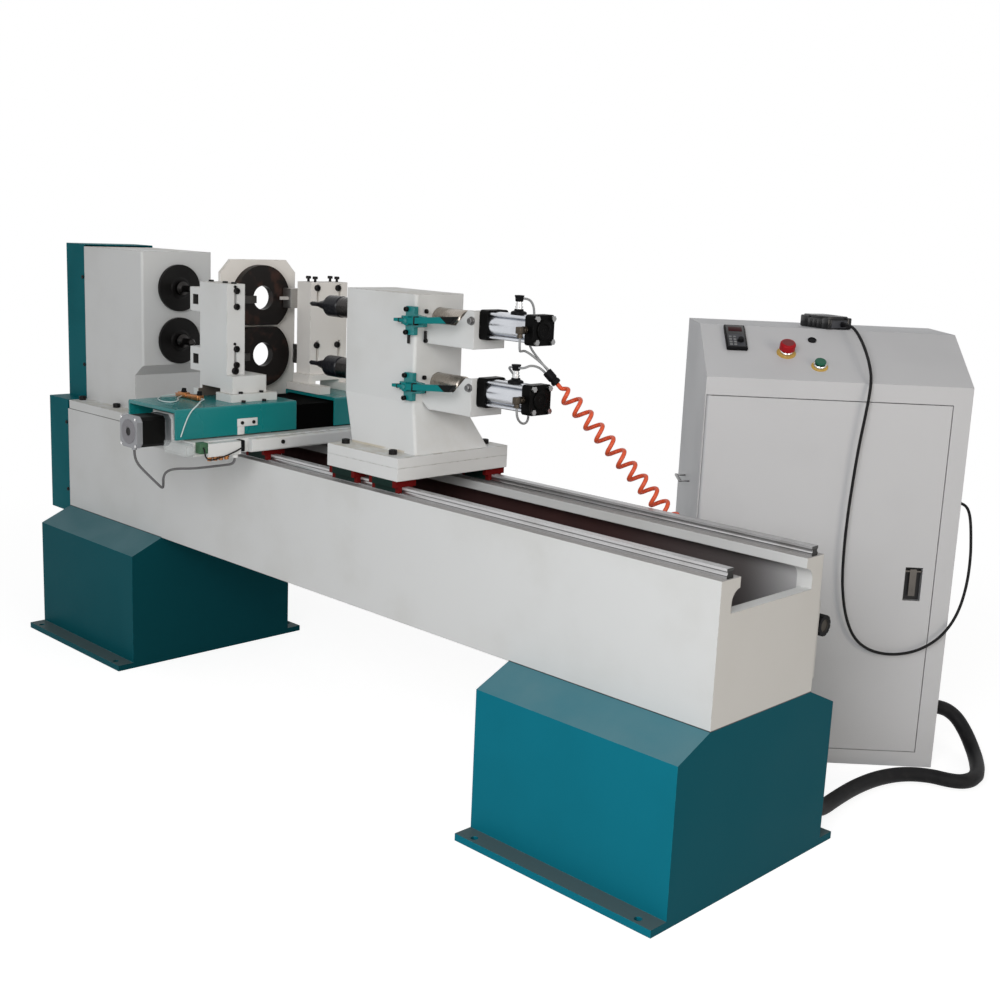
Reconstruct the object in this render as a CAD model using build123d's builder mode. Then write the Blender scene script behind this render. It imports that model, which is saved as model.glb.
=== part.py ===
from build123d import *
import os
from math import cos, pi, radians, sin, sqrt, tan

# Twin-spindle CNC wood lathe with its free-standing control cabinet, in millimetres.
# X runs along the bed towards the tailstock, Y to the back and Z up.
# The origin is on the floor, in the middle of the anchor bolts.

# Clearances
RUNNING_GAP = 0.3
SEAT_GAP = 0.2
GUIDE_GAP = 0.6
COVER_GAP = 4.0

# Feet
FOOT_LENGTH = 585.0
FOOT_WIDTH = 600.0
FOOT_HEIGHT = 410.0
FOOT_SLOPE = 47.0
FOOT_WALL = 10.0
SOLE_WIDTH = 704.0
SOLE_THICK = 18.0
ANCHOR_INSET = 48.0
ANCHOR_EDGE = 18.0
ANCHOR_RADIUS = 9.0
CABLE_HOLE_RADIUS = 22.0
CABLE_HOLE_HEIGHT = 78.0
CABLE_HOLE_INSET = 82.0

# Bed
BED_LENGTH = 2700.0
BED_WIDTH = 390.0
BED_HEIGHT = 325.0
BED_WALL = 40.0
BED_FLOOR = 70.0
LIP_WIDTH = 67.0
LIP_DEPTH = 24.0
LIP_CURVE = 30.0
END_WALL = 30.0
SILL_DROP = 75.0
RIB_THICK = 16.0
RIB_PITCH = 438.0
RIB_INSET = 465.0
RIB_COUNT = 5
RIB_HEIGHT = 60.0
GUSSET_HEIGHT = 165.0
SEAT_PAD = 13.0

# Bed rails and guide blocks
RAIL_SPACING = 324.0
RAIL_WIDTH = 23.0
RAIL_HEIGHT = 22.0
RAIL_WAIST = 6.0
RAIL_END_INSET = 4.0
GUIDE_HEIGHT = 40.0
BLOCK_LENGTH = 104.0
BLOCK_WIDTH = 70.0
BLOCK_NECK = 48.0
BLOCK_FLANGE = 18.0
BLOCK_LIFT = 7.0

# Spindle heights, shared by the headstock, steady, tools and tailstock
LOWER_AXIS = 1007.0
AXIS_SPACING = 170.0

# Headstock
HEAD_LENGTH = 365.0
HEAD_INSET = 10.0
HEAD_WIDTH = 260.0
HEAD_RISE = 115.0
HEAD_WALL = 30.0
HEAD_FLANGE = 30.0
HEAD_FLANGE_SHORT = 25.0
HEAD_UNDERCUT = 47.0
HEAD_UNDERCUT_DROP = 79.0
HEAD_UNDERCUT_SLOPE = 35.0

# Spindles and drive
SPINDLE_RADIUS = 35.0
BEARING_RADIUS = 55.0
BEARING_WIDTH = 26.0
FACEPLATE_RADIUS = 75.0
FACEPLATE_THICK = 18.0
FACEPLATE_GAP = 2.0
CENTER_LENGTH = 85.0
CENTER_COLLAR = 22.0
CENTER_SHANK = 11.0
PULLEY_RADIUS = 62.0
PULLEY_RIM = 4.0
PULLEY_FLANGE = 5.0
BELT_WIDTH = 28.0
BELT_THICK = 6.0
BELT_GAP = 0.3
TRACK_ROOM = 1.0
PULLEY_STANDOFF = 12.0
MOTOR_PULLEY_RADIUS = 50.0
MOTOR_LIFT = 180.0
MOTOR_RADIUS = 92.0
MOTOR_LENGTH = 250.0
MOTOR_SHAFT = 19.0
MOTOR_SHAFT_DEPTH = 60.0
MOTOR_FOOT = 160.0
MOTOR_FIN_COUNT = 24
MOTOR_FIN = 6.0

# Drive covers
COVER_SHEET = 3.0
SPINDLE_COVER_DEPTH = 124.0
SPINDLE_COVER_RISE = 7.0
DRIVE_COVER_DEPTH = 132.0
DRIVE_COVER_DROP = 22.0
BELT_WINDOW = 200.0

# Feed rack and pinion
GEAR_MODULE = 4.0
PINION_TEETH = 20
PINION_SHAFT = 8.0
RACK_TEETH = 96
RACK_BACK = 17.0
RACK_HEIGHT = 22.0
TOOTH_BACKLASH = 1.2
FEED_MOTOR_SIZE = 60.0

# Carriage
CARRIAGE_X = -390.0
SADDLE_LENGTH = 360.0
SADDLE_WIDTH = 870.0
SADDLE_THICK = 40.0
BLOCK_INSET = 8.0
SIDE_STRIP = 20.0
STRIP_START = -258.0
SWITCH_START = -404.0
SWITCH_END = -298.0
SWITCH_DEPTH = 25.0
HANGER_THICK = 14.0

# Ring steady
STEADY_THICK = 12.0
STEADY_WIDTH = 270.0
STEADY_RISE = 112.0
STEADY_TOP_WIDTH = 200.0
STEADY_CORNER = 38.0
STEADY_FOOT = 68.0
STEADY_FOOT_THICK = 15.0
STEADY_INSET = 31.0
RING_RADIUS = 97.0
RING_BORE = 36.0
RING_THICK = 25.0
RING_SPLIT = 3.2
PLATE_BORE = 60.0

# Cross slides
SLIDE_X = -360.0
SLIDE_WIDTH = 241.0
SLIDE_LENGTH = 400.0
SLIDE_INNER_END = 70.0
SLIDE_HEIGHT = 87.0
SLIDE_SIDE = 6.0
SLIDE_ROOF = 10.0
SLIDE_LIFT = 4.0
CROSS_RAIL_SPACING = 160.0
CROSS_RAIL_WIDTH = 20.0
CROSS_RAIL_HEIGHT = 18.0
CROSS_RAIL_LENGTH = 850.0
CROSS_BLOCK_WIDTH = 44.0
CROSS_BLOCK_LIFT = 4.0
WEB_WIDTH = 30.0
WEB_START = 190.0
WEB_LENGTH = 175.0
SCREW_RADIUS = 10.0
SCREW_LIFT = 18.0
NUT_WIDTH = 60.0
NUT_LENGTH = 50.0
NUT_INSET = 40.0
SCREW_SUPPORT = 20.0
SCREW_SUPPORT_WIDTH = 100.0
STEPPER_SIZE = 86.0
STEPPER_LENGTH = 106.0
STEPPER_CORNER = 14.0
STEPPER_CAP = 18.0
CENTER_COVER_LENGTH = 300.0
CENTER_COVER_DROP = 4.0

# Tool posts
POST_LEFT = -460.0
FRONT_POST_WIDTH = 135.0
FRONT_POST_DEPTH = 60.0
FRONT_POST_Y = -220.0
FRONT_BASE_INNER = -135.0
FRONT_BASE_RIGHT = -297.0
POST_RISE = 52.0
POST_SHOE = 23.0
POST_SHOE_MARGIN = 14.0
POST_BASE_HEIGHT = 72.0
POST_GAP_WIDTH = 90.0
POST_GAP_HEIGHT = 32.0
POST_GAP_INSET = 12.0
REAR_POST_WIDTH = 65.0
REAR_POST_DEPTH = 140.0
REAR_POST_Y = 165.0
REAR_STEP_HEIGHT = 50.0
REAR_SHOE_WIDTH = 165.0
SLOT_LENGTH = 60.0
SLOT_RISE = 16.0
SLOT_WIDTH = 9.0
SLOT_DEPTH = 14.0
SLOT_SPACING = 83.0
SLEEVE_WIDTH = 50.0
SLEEVE_HEIGHT = 68.0
SLEEVE_LENGTH = 100.0
TOOL_SIZE = 22.0
TOOL_LENGTH = 160.0
TOOL_TIP = 24.0
TOOL_REACH = 40.0
LOWER_TOOL_REACH = 62.0
TOOL_ROOM = 6.0
HOLDER_WIDTH = 38.0
HOLDER_HEIGHT = 58.0
HOLDER_REACH = 70.0
LOWER_HOLDER_REACH = 108.0
CUTTER_LENGTH = 24.0
CUTTER_THICK = 10.0

# Tailstock
TAIL_X = 210.0
TAIL_LENGTH = 284.0
TAIL_WIDTH = 396.0
TAIL_PLATE = 33.0
TAIL_FLANGE = 27.0
COLUMN_BASE_LENGTH = 259.0
COLUMN_BASE_WIDTH = 264.0
COLUMN_BASE_SHIFT = 5.5
COLUMN_NECK_DROP = 47.0
COLUMN_RISE = 63.0
COLUMN_LENGTH = 282.0
COLUMN_WIDTH = 172.0
COLUMN_LEAN = -72.0
COLUMN_ROUND = 8.0

# Quills, live centres and cylinders
QUILL_RADIUS = 29.0
QUILL_FRONT = 117.0
QUILL_BACK = 101.0
NOSE_RADIUS = 30.0
NOSE_LENGTH = 60.0
NOSE_CONE = 55.0
NOSE_CONE_RADIUS = 20.0
NOSE_POINT = 40.0
NOSE_POINT_RADIUS = 6.5
BRACKET_LENGTH = 183.0
BRACKET_WIDTH = 110.0
BRACKET_WALL = 8.0
BRACKET_DROP = 62.0
BRACKET_WALL_TOP = -8.0
BRACKET_RISE = 34.0
BRACKET_LOW_LENGTH = 116.0
BRACKET_HIGH_LENGTH = 24.0
BRACKET_PLATE = 12.0
BRACKET_CORNER = 26.0
CAP_SIZE = 75.0
CAP_THICK = 28.0
CAP_ROUND = 9.0
BARREL_LENGTH = 129.0
BARREL_RADIUS = 34.0
BARREL_BORE = 31.5
PISTON_THICK = 20.0
PISTON_START = 5.0
ROD_RADIUS = 10.0
TIE_SPACING = 56.5
TIE_RADIUS = 4.0
NUT_RADIUS = 7.5
NUT_THICK = 8.0

# Air fittings
FITTING_SIZE = 20.0
FITTING_FOOT = 12.0
STEM_RADIUS = 6.0
STEM_HEIGHT = 18.0
ELBOW_RADIUS = 9.0
ELBOW_HEIGHT = 14.0
SIDE_STUB = 8.0
SIDE_STUB_LENGTH = 12.0
SIDE_BODY = 18.0
AIR_TUBE = 6.0
COUPLER_RADIUS = 12.0
COUPLER_LENGTH = 40.0
COUPLER_PORT = 6.5
COUPLER_LEAD = 16.0

# Quill clamps
CLAMP_HEIGHT = 73.0
CLAMP_BAR = 32.0
CLAMP_LEFT = 33.0
CLAMP_ARM = 22.0
CLAMP_RIGHT = 51.0
CLAMP_BOSS = 36.0
CLAMP_BOSS_END = 26.0
CLAMP_THICK = 14.0
CLAMP_INSET = 7.0
CLAMP_DROP = 4.0
CLAMP_ROUND = 2.0
PIVOT_RADIUS = 6.0
LEVER_HUB = 12.0
LEVER_THICK = 14.0
LEVER_LENGTH = 184.0
LEVER_ROOT = 15.0
LEVER_END = 19.0
LEVER_SLANT = 19.0
LEVER_RISE = 15.0
STUB_LENGTH = 47.0
STUB_HEIGHT = 8.0

# Spiral air hose
HOSE_DIAMETER = 8.5
HOSE_START = (645.0, 61.0, 1044.0)
HOSE_END = (915.0, 250.0, 700.0)
HOSE_TURNS = 11
HOSE_COIL_RADIUS = 18.5
HOSE_RAMP_TURNS = 0.75
SOCKET_RADIUS = 12.0
NIPPLE_RADIUS = 8.0
NIPPLE_LENGTH = 26.0

# Air regulator
REGULATOR_INSET = 40.0
REGULATOR_DROP = 173.0
REGULATOR_SIZE = 34.0
REGULATOR_PLATE = 5.0
REGULATOR_PLATE_HEIGHT = 183.0
REGULATOR_PLATE_WIDTH = 58.0
REGULATOR_ARM = 9.0
BOWL_RADIUS = 11.0
BOWL_HEIGHT = 24.0
KNOB_RADIUS = 25.0
KNOB_HEIGHT = 24.0
KNOB_DISH_RADIUS = 15.0
KNOB_DISH = 4.0
KNOB_STEM = 7.0
KNOB_STEM_HEIGHT = 14.0
KNOB_FLUTES = 12
KNOB_FLUTE = 2.0

# Control cabinet
CABINET_CORNER = (793.5, 480.3)
CABINET_TURN = 43.55
CABINET_WIDTH = 700.0
CABINET_DEPTH = 447.0
CABINET_FRONT = 1058.0
CABINET_TOP = 1180.0
PANEL_DEPTH = 204.0
CABINET_SHEET = 3.0
DOOR_THICK = 18.0
DOOR_STILE = 50.0
DOOR_BOTTOM = 44.0
DOOR_HEAD = 50.0
DOOR_GAP = 2.0
DOOR_SKIN = 3.0
DOOR_RIM = 14.0
DOOR_LEFT_GAP = 1.0
DOOR_SHELF = 25.0
PIVOT_PIN = 4.0
PIVOT_PIN_LENGTH = 18.0
LATCH_INSET = 55.0
LATCH_DROP = 4.0
LATCH_WIDTH = 46.0
LATCH_HEIGHT = 92.0
LATCH_DEPTH = 14.0
LATCH_WALL = 4.0
LEVER_WIDTH = 18.0
LATCH_LEVER = 6.0
LATCH_PIN = 3.0
LATCH_PIN_SEAT = 2.5

# Panel controls
KEYPAD = (57.0, 107.0)
KEYPAD_PLACE = (90.5, 172.5)
KEYPAD_THICK = 14.0
STOP_PLACE = (222.0, 118.0)
START_PLACE = (304.0, 64.0)
PLUG_PLACE = (300.0, 182.0)
PLUG_RADIUS = 11.5
PLUG_HEIGHT = 4.0
RING_PLATE_RADIUS = 28.0
RING_PLATE_THICK = 2.0
COLLAR_RADIUS = 17.0
COLLAR_HEIGHT = 10.0
STOP_RADIUS = 21.0
STOP_HEIGHT = 20.0
STOP_TRAVEL = 5.0
START_RADIUS = 15.0
START_TRAVEL = 4.0
PLUNGER_RADIUS = 10.0
PENDANT_SIZE = (80.0, 150.0, 36.0)
PENDANT_PLACE = (377.0, 208.0)
PENDANT_TURN = 23.5
PENDANT_ROUND = 8.0
PENDANT_EXIT = 18.0

# Cabinet electrics
BACK_PANEL = (600.0, 860.0, 3.0)
BACK_PANEL_BASE = 90.0
INVERTER = (150.0, 150.0, 260.0)
TRANSFORMER = (160.0, 120.0, 140.0)
DRIVER = (60.0, 110.0, 170.0)
DRIVER_COUNT = 3
TERMINALS = (480.0, 40.0, 45.0)
ELECTRICS_INSET = 50.0
ELECTRICS_STEP = 60.0

# Cords
PENDANT_CABLE = 8.0
CONDUIT = 40.0
MOTOR_CABLE = 7.0
GLAND_RADIUS = 26.0
GLAND_LENGTH = 22.0
CABLE_GLAND_RADIUS = 9.0
CABLE_GLAND_LENGTH = 16.0

# Derived levels and places
BED_TOP = FOOT_HEIGHT + BED_HEIGHT
BED_END = BED_LENGTH / 2
BED_FRONT = -BED_WIDTH / 2
BED_BACK = BED_WIDTH / 2
TROUGH_FLOOR = FOOT_HEIGHT + BED_FLOOR
LIP_BOTTOM = BED_TOP - LIP_DEPTH
TROUGH_HALF = BED_WIDTH / 2 - BED_WALL
LIP_EDGE = BED_WIDTH / 2 - LIP_WIDTH
RAIL_Y = RAIL_SPACING / 2
UPPER_AXIS = LOWER_AXIS + AXIS_SPACING
AXES = (LOWER_AXIS, UPPER_AXIS)
NAMES = ("lower", "upper")
HEAD_TOP = UPPER_AXIS + HEAD_RISE
HEAD_UNDERCUT_TOP = LOWER_AXIS - HEAD_UNDERCUT_DROP
MOTOR_HEIGHT = FOOT_HEIGHT + MOTOR_LIFT
DRIVE_COVER_BOTTOM = FOOT_HEIGHT - DRIVE_COVER_DROP
STEADY_TOP = UPPER_AXIS + STEADY_RISE
POST_TOP = UPPER_AXIS + POST_RISE
COLUMN_NECK = LOWER_AXIS - COLUMN_NECK_DROP
COLUMN_TOP = UPPER_AXIS + COLUMN_RISE

HEAD_LEFT = -BED_END + HEAD_INSET
HEAD_RIGHT = HEAD_LEFT + HEAD_LENGTH
HEAD_SEAT = BED_TOP + SEAT_PAD
HEAD_BASE = HEAD_SEAT + HEAD_FLANGE
HEAD_FLANGE_RIGHT = HEAD_RIGHT - HEAD_FLANGE_SHORT
RAIL_LEFT = HEAD_FLANGE_RIGHT
RAIL_RIGHT = BED_END - RAIL_END_INSET
FACE_X = HEAD_RIGHT + FACEPLATE_GAP + FACEPLATE_THICK
TRACK_STEP = BELT_WIDTH + 2 * TRACK_ROOM + PULLEY_FLANGE
INNER_TRACK = -BED_END - PULLEY_STANDOFF - PULLEY_FLANGE - BELT_WIDTH / 2
OUTER_TRACK = INNER_TRACK - TRACK_STEP
SPINDLE_LEFT = OUTER_TRACK - BELT_WIDTH / 2 - PULLEY_FLANGE - 4 * TRACK_ROOM

SADDLE_BOTTOM = BED_TOP + GUIDE_HEIGHT
SADDLE_TOP = SADDLE_BOTTOM + SADDLE_THICK
SLIDE_TOP = SADDLE_TOP + SLIDE_HEIGHT
SCREW_HEIGHT = SADDLE_TOP + SCREW_LIFT
SADDLE_LEFT = CARRIAGE_X - SADDLE_LENGTH / 2
SADDLE_RIGHT = CARRIAGE_X + SADDLE_LENGTH / 2
SADDLE_FRONT = -SADDLE_WIDTH / 2
RING_FACE = SADDLE_LEFT + STEADY_INSET + STEADY_THICK + RING_THICK
TAIL_LEFT = TAIL_X - TAIL_LENGTH / 2
FLANGE_TOP = SADDLE_BOTTOM + TAIL_PLATE + TAIL_FLANGE
COLUMN_X = TAIL_X + COLUMN_LEAN
COLUMN_RIGHT = COLUMN_X + COLUMN_LENGTH / 2
COLUMN_LEFT = COLUMN_X - COLUMN_LENGTH / 2
COLUMN_FRONT = -COLUMN_WIDTH / 2
CYLINDER_X = COLUMN_RIGHT + BRACKET_LENGTH
BARREL_X = CYLINDER_X + CAP_THICK
REAR_CAP_X = BARREL_X + BARREL_LENGTH
REGULATOR_X = BED_END - REGULATOR_INSET
REGULATOR_HEIGHT = BED_TOP - REGULATOR_DROP
DOOR_RIGHT = CABINET_WIDTH - DOOR_STILE
DOOR_TOP = CABINET_FRONT - DOOR_HEAD
LATCH_X = DOOR_RIGHT - LATCH_INSET
LATCH_Z = (DOOR_BOTTOM + DOOR_TOP) / 2 - LATCH_DROP

CABINET = Plane(
    origin=(*CABINET_CORNER, 0),
    x_dir=(cos(radians(CABINET_TURN)), sin(radians(CABINET_TURN)), 0),
    z_dir=(0, 0, 1),
)
PANEL_SLOPE = sqrt(PANEL_DEPTH**2 + (CABINET_TOP - CABINET_FRONT) ** 2)
PANEL = Plane(
    origin=CABINET.from_local_coords((0, 0, CABINET_FRONT)),
    x_dir=CABINET.x_dir,
    z_dir=CABINET.z_dir * PANEL_DEPTH - CABINET.y_dir * (CABINET_TOP - CABINET_FRONT),
)
CABINET_SIDE = Plane(origin=CABINET.origin, x_dir=CABINET.y_dir, z_dir=CABINET.x_dir)


def keep(builder, name):
    """Label a finished piece and write it."""
    builder.part.label = name
    export_step(builder.part, f"parts/{name}.step")


def span(x, y, z, mode=Mode.ADD):
    """A rectangular block between two limits along each axis."""
    with Locations(((x[0] + x[1]) / 2, (y[0] + y[1]) / 2, (z[0] + z[1]) / 2)):
        Box(x[1] - x[0], y[1] - y[0], z[1] - z[0], mode=mode)


def outline(plane, points):
    """A flat face inside straight edges."""
    with BuildSketch(plane) as shape:
        with BuildLine():
            Polyline(*points, close=True)
        make_face()
    return shape.sketch


def turn(height, steps, mode=Mode.ADD):
    """A body turned about a line along X, from pairs of x and radius."""
    points = [(steps[0][0], height)]
    points += [(x, height + radius) for x, radius in steps]
    points += [(steps[-1][0], height)]
    revolve(outline(Plane.XZ, points), axis=Axis((0, 0, height), (1, 0, 0)), mode=mode)


def rod(x, height, radius, mode=Mode.ADD):
    """A round bar along X at Y = 0."""
    with BuildSketch(Plane.YZ.offset(x[0])) as section:
        with Locations((0, height)):
            Circle(radius)
    extrude(section.sketch, amount=x[1] - x[0], mode=mode)


def bar(start, end, radius, mode=Mode.ADD):
    """A round bar between two points."""
    start, end = Vector(start), Vector(end)
    with BuildSketch(Plane(origin=start, z_dir=end - start)) as section:
        Circle(radius)
    extrude(section.sketch, amount=(end - start).length, mode=mode)


def cord_route(name, points):
    """Straight runs joined by the largest tangent arcs that they allow."""
    points = [Vector(point) for point in points]
    radii = []
    for before, corner, after in zip(points, points[1:], points[2:]):
        bend = radians((corner - before).get_angle(after - corner))
        shorter = min((corner - before).length, (after - corner).length)
        radii.append(0.45 * shorter / tan(bend / 2))
    with BuildLine() as route:
        FilletPolyline(*points, radius=radii)
    print(name, "length", round(route.wire().length), "radii", [round(radius) for radius in radii])
    return route.wire()


def cord(route, points, diameter):
    """A round cord swept along its route."""
    with BuildSketch(Plane(origin=points[0], z_dir=Vector(points[1]) - Vector(points[0]))) as section:
        Circle(diameter / 2)
    sweep(section.sketch, path=route)


def rail_points(center, level, width, height):
    """Half-waisted section of a linear guide rail."""
    half = width / 2
    waist = half - RAIL_WAIST / 2
    right = [
        (half, 0),
        (half, height * 0.3),
        (waist, height * 0.45),
        (waist, height * 0.6),
        (half, height * 0.75),
        (half, height),
    ]
    left = [(-y, z) for y, z in reversed(right)]
    return [(center + y, level + z) for y, z in right + left]


def block_points(center):
    """Section of a flanged guide block that straddles a bed rail."""
    slot = RAIL_WIDTH / 2 + GUIDE_GAP
    roof = RAIL_HEIGHT + GUIDE_GAP
    right = [
        (slot, roof),
        (slot, BLOCK_LIFT),
        (BLOCK_NECK / 2, BLOCK_LIFT),
        (BLOCK_NECK / 2, GUIDE_HEIGHT - BLOCK_FLANGE),
        (BLOCK_WIDTH / 2, GUIDE_HEIGHT - BLOCK_FLANGE),
        (BLOCK_WIDTH / 2, GUIDE_HEIGHT),
    ]
    left = [(-y, z) for y, z in reversed(right)]
    return [(center + y, BED_TOP + z) for y, z in right + left]


def trough(plane, floor):
    """Section of the bed's trough, with lips that overhang a curved undercut."""
    above = HEAD_SEAT + 1
    under = LIP_BOTTOM - LIP_CURVE
    with BuildSketch(plane) as section:
        with BuildLine():
            Polyline((-TROUGH_HALF, under), (-TROUGH_HALF, floor), (TROUGH_HALF, floor), (TROUGH_HALF, under))
            TangentArc((TROUGH_HALF, under), (LIP_EDGE, LIP_BOTTOM), tangent=(0, 1))
            Polyline((LIP_EDGE, LIP_BOTTOM), (LIP_EDGE, above), (-LIP_EDGE, above), (-LIP_EDGE, LIP_BOTTOM))
            TangentArc((-TROUGH_HALF, under), (-LIP_EDGE, LIP_BOTTOM), tangent=(0, 1))
        make_face()
    return section.sketch


os.makedirs("parts", exist_ok=True)

# Feet: welded boxes with sloping shoulders on broad soles
FOOT_ENDS = {"foot_left": -BED_END, "foot_right": BED_END - FOOT_LENGTH}
CONDUIT_FOOT = "foot_right"
for foot_name, foot_x in FOOT_ENDS.items():
    with BuildPart() as foot:
        half, top = FOOT_WIDTH / 2, BED_WIDTH / 2
        shoulder = FOOT_HEIGHT - FOOT_SLOPE
        shell = [
            (-half, 0),
            (half, 0),
            (half, shoulder),
            (top, FOOT_HEIGHT),
            (-top, FOOT_HEIGHT),
            (-half, shoulder),
        ]
        extrude(outline(Plane.YZ.offset(foot_x), shell), amount=FOOT_LENGTH)
        inner, ceiling = half - FOOT_WALL, FOOT_HEIGHT - FOOT_WALL
        hollow = [
            (-inner, SOLE_THICK),
            (inner, SOLE_THICK),
            (inner, shoulder - FOOT_WALL / 2),
            (top, ceiling),
            (-top, ceiling),
            (-inner, shoulder - FOOT_WALL / 2),
        ]
        extrude(
            outline(Plane.YZ.offset(foot_x + FOOT_WALL), hollow),
            amount=FOOT_LENGTH - 2 * FOOT_WALL,
            mode=Mode.SUBTRACT,
        )
        span((foot_x, foot_x + FOOT_LENGTH), (-SOLE_WIDTH / 2, SOLE_WIDTH / 2), (0, SOLE_THICK))
        with Locations((foot_x + FOOT_LENGTH / 2, 0, SOLE_THICK)):
            with GridLocations(FOOT_LENGTH - 2 * ANCHOR_INSET, SOLE_WIDTH - 2 * ANCHOR_EDGE, 2, 2):
                Hole(ANCHOR_RADIUS, depth=SOLE_THICK)
        hole_x = BED_END - CABLE_HOLE_INSET if foot_x > 0 else -BED_END + CABLE_HOLE_INSET
        bar(
            (hole_x, half - FOOT_WALL - 1, CABLE_HOLE_HEIGHT),
            (hole_x, half + 1, CABLE_HOLE_HEIGHT),
            CABLE_HOLE_RADIUS,
            mode=Mode.SUBTRACT,
        )
        if foot_name == CONDUIT_FOOT:
            gland_start = Vector(hole_x, half - FOOT_WALL, CABLE_HOLE_HEIGHT)
            bar(gland_start, gland_start + (0, FOOT_WALL + GLAND_LENGTH, 0), GLAND_RADIUS)
    keep(foot, foot_name)

# Bed: a ribbed trough casting with overhanging rail lips
with BuildPart() as bed:
    span((-BED_END, BED_END), (BED_FRONT, BED_BACK), (FOOT_HEIGHT, BED_TOP))
    span((-BED_END, HEAD_FLANGE_RIGHT), (BED_FRONT, BED_BACK), (BED_TOP, HEAD_SEAT))
    trough_left = -BED_END + END_WALL
    extrude(
        trough(Plane.YZ.offset(trough_left), TROUGH_FLOOR),
        amount=BED_LENGTH - 2 * END_WALL,
        mode=Mode.SUBTRACT,
    )
    extrude(
        trough(Plane.YZ.offset(BED_END - END_WALL - 1), BED_TOP - SILL_DROP),
        amount=END_WALL + 1,
        mode=Mode.SUBTRACT,
    )
    for rib in range(RIB_COUNT):
        rib_x = BED_END - RIB_INSET - rib * RIB_PITCH
        rib_top, gusset_top = TROUGH_FLOOR + RIB_HEIGHT, TROUGH_FLOOR + GUSSET_HEIGHT
        rib_shape = [
            (-TROUGH_HALF, TROUGH_FLOOR),
            (TROUGH_HALF, TROUGH_FLOOR),
            (TROUGH_HALF, gusset_top),
            (LIP_EDGE, gusset_top),
            (LIP_EDGE, rib_top),
            (-LIP_EDGE, rib_top),
            (-LIP_EDGE, gusset_top),
            (-TROUGH_HALF, gusset_top),
        ]
        extrude(outline(Plane.YZ.offset(rib_x - RIB_THICK / 2), rib_shape), amount=RIB_THICK)
    rod((-BED_END, trough_left + 1), MOTOR_HEIGHT, MOTOR_SHAFT + 10, mode=Mode.SUBTRACT)
keep(bed, "bed")

# Bed rails
with BuildPart() as bed_rails:
    for side in (-RAIL_Y, RAIL_Y):
        section = outline(Plane.YZ.offset(RAIL_LEFT), rail_points(side, BED_TOP, RAIL_WIDTH, RAIL_HEIGHT))
        extrude(section, amount=RAIL_RIGHT - RAIL_LEFT)
keep(bed_rails, "bed_rails")

# Guide blocks under the saddle and the tailstock
BLOCK_SETS = {
    "carriage_blocks": (SADDLE_LEFT, SADDLE_RIGHT),
    "tail_blocks": (TAIL_LEFT, TAIL_LEFT + TAIL_LENGTH),
}
for blocks_name, (left, right) in BLOCK_SETS.items():
    with BuildPart() as guide_blocks:
        for block_x in (left + BLOCK_INSET, right - BLOCK_INSET - BLOCK_LENGTH):
            for side in (-RAIL_Y, RAIL_Y):
                extrude(outline(Plane.YZ.offset(block_x), block_points(side)), amount=BLOCK_LENGTH)
    keep(guide_blocks, blocks_name)

# Headstock: a hollow casting, undercut on the tailstock side
with BuildPart() as headstock:
    undercut_x = HEAD_RIGHT - HEAD_UNDERCUT
    side_view = [
        (HEAD_LEFT, HEAD_BASE),
        (undercut_x, HEAD_BASE),
        (undercut_x, HEAD_UNDERCUT_TOP - HEAD_UNDERCUT_SLOPE),
        (HEAD_RIGHT, HEAD_UNDERCUT_TOP),
        (HEAD_RIGHT, HEAD_TOP),
        (HEAD_LEFT, HEAD_TOP),
    ]
    extrude(outline(Plane.XZ, side_view), amount=HEAD_WIDTH / 2, both=True)
    fillet(headstock.edges().filter_by(Axis.Z).group_by(Axis.X)[-1], COLUMN_ROUND)
    span((HEAD_LEFT, HEAD_FLANGE_RIGHT), (BED_FRONT, BED_BACK), (HEAD_SEAT, HEAD_BASE))
    span(
        (HEAD_LEFT + HEAD_WALL, undercut_x - HEAD_WALL),
        (HEAD_WALL - HEAD_WIDTH / 2, HEAD_WIDTH / 2 - HEAD_WALL),
        (HEAD_BASE, HEAD_TOP - HEAD_WALL),
        mode=Mode.SUBTRACT,
    )
    for axis_height in AXES:
        rod((HEAD_LEFT, HEAD_RIGHT), axis_height, BEARING_RADIUS, mode=Mode.SUBTRACT)
keep(headstock, "headstock")

# Spindle bearings: one at each end of both bores
with BuildPart() as spindle_bearings:
    for axis_height in AXES:
        for ring_x in (HEAD_LEFT + 2, HEAD_RIGHT - 2 - BEARING_WIDTH):
            rod((ring_x, ring_x + BEARING_WIDTH), axis_height, BEARING_RADIUS - SEAT_GAP)
            rod((ring_x, ring_x + BEARING_WIDTH), axis_height, SPINDLE_RADIUS + RUNNING_GAP, mode=Mode.SUBTRACT)
keep(spindle_bearings, "spindle_bearings")


def pulley_steps(center, radius, track_count):
    """Outline of a flanged belt pulley with its tracks side by side, from left to right."""
    first = center - (track_count - 1) * TRACK_STEP - BELT_WIDTH / 2 - TRACK_ROOM
    steps = [(first - PULLEY_FLANGE, radius + PULLEY_RIM)]
    for track in range(track_count):
        left = first + track * TRACK_STEP
        right = left + BELT_WIDTH + 2 * TRACK_ROOM
        steps += [
            (left, radius + PULLEY_RIM),
            (left, radius),
            (right, radius),
            (right, radius + PULLEY_RIM),
        ]
    return steps + [(right + PULLEY_FLANGE, radius + PULLEY_RIM)]


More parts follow.
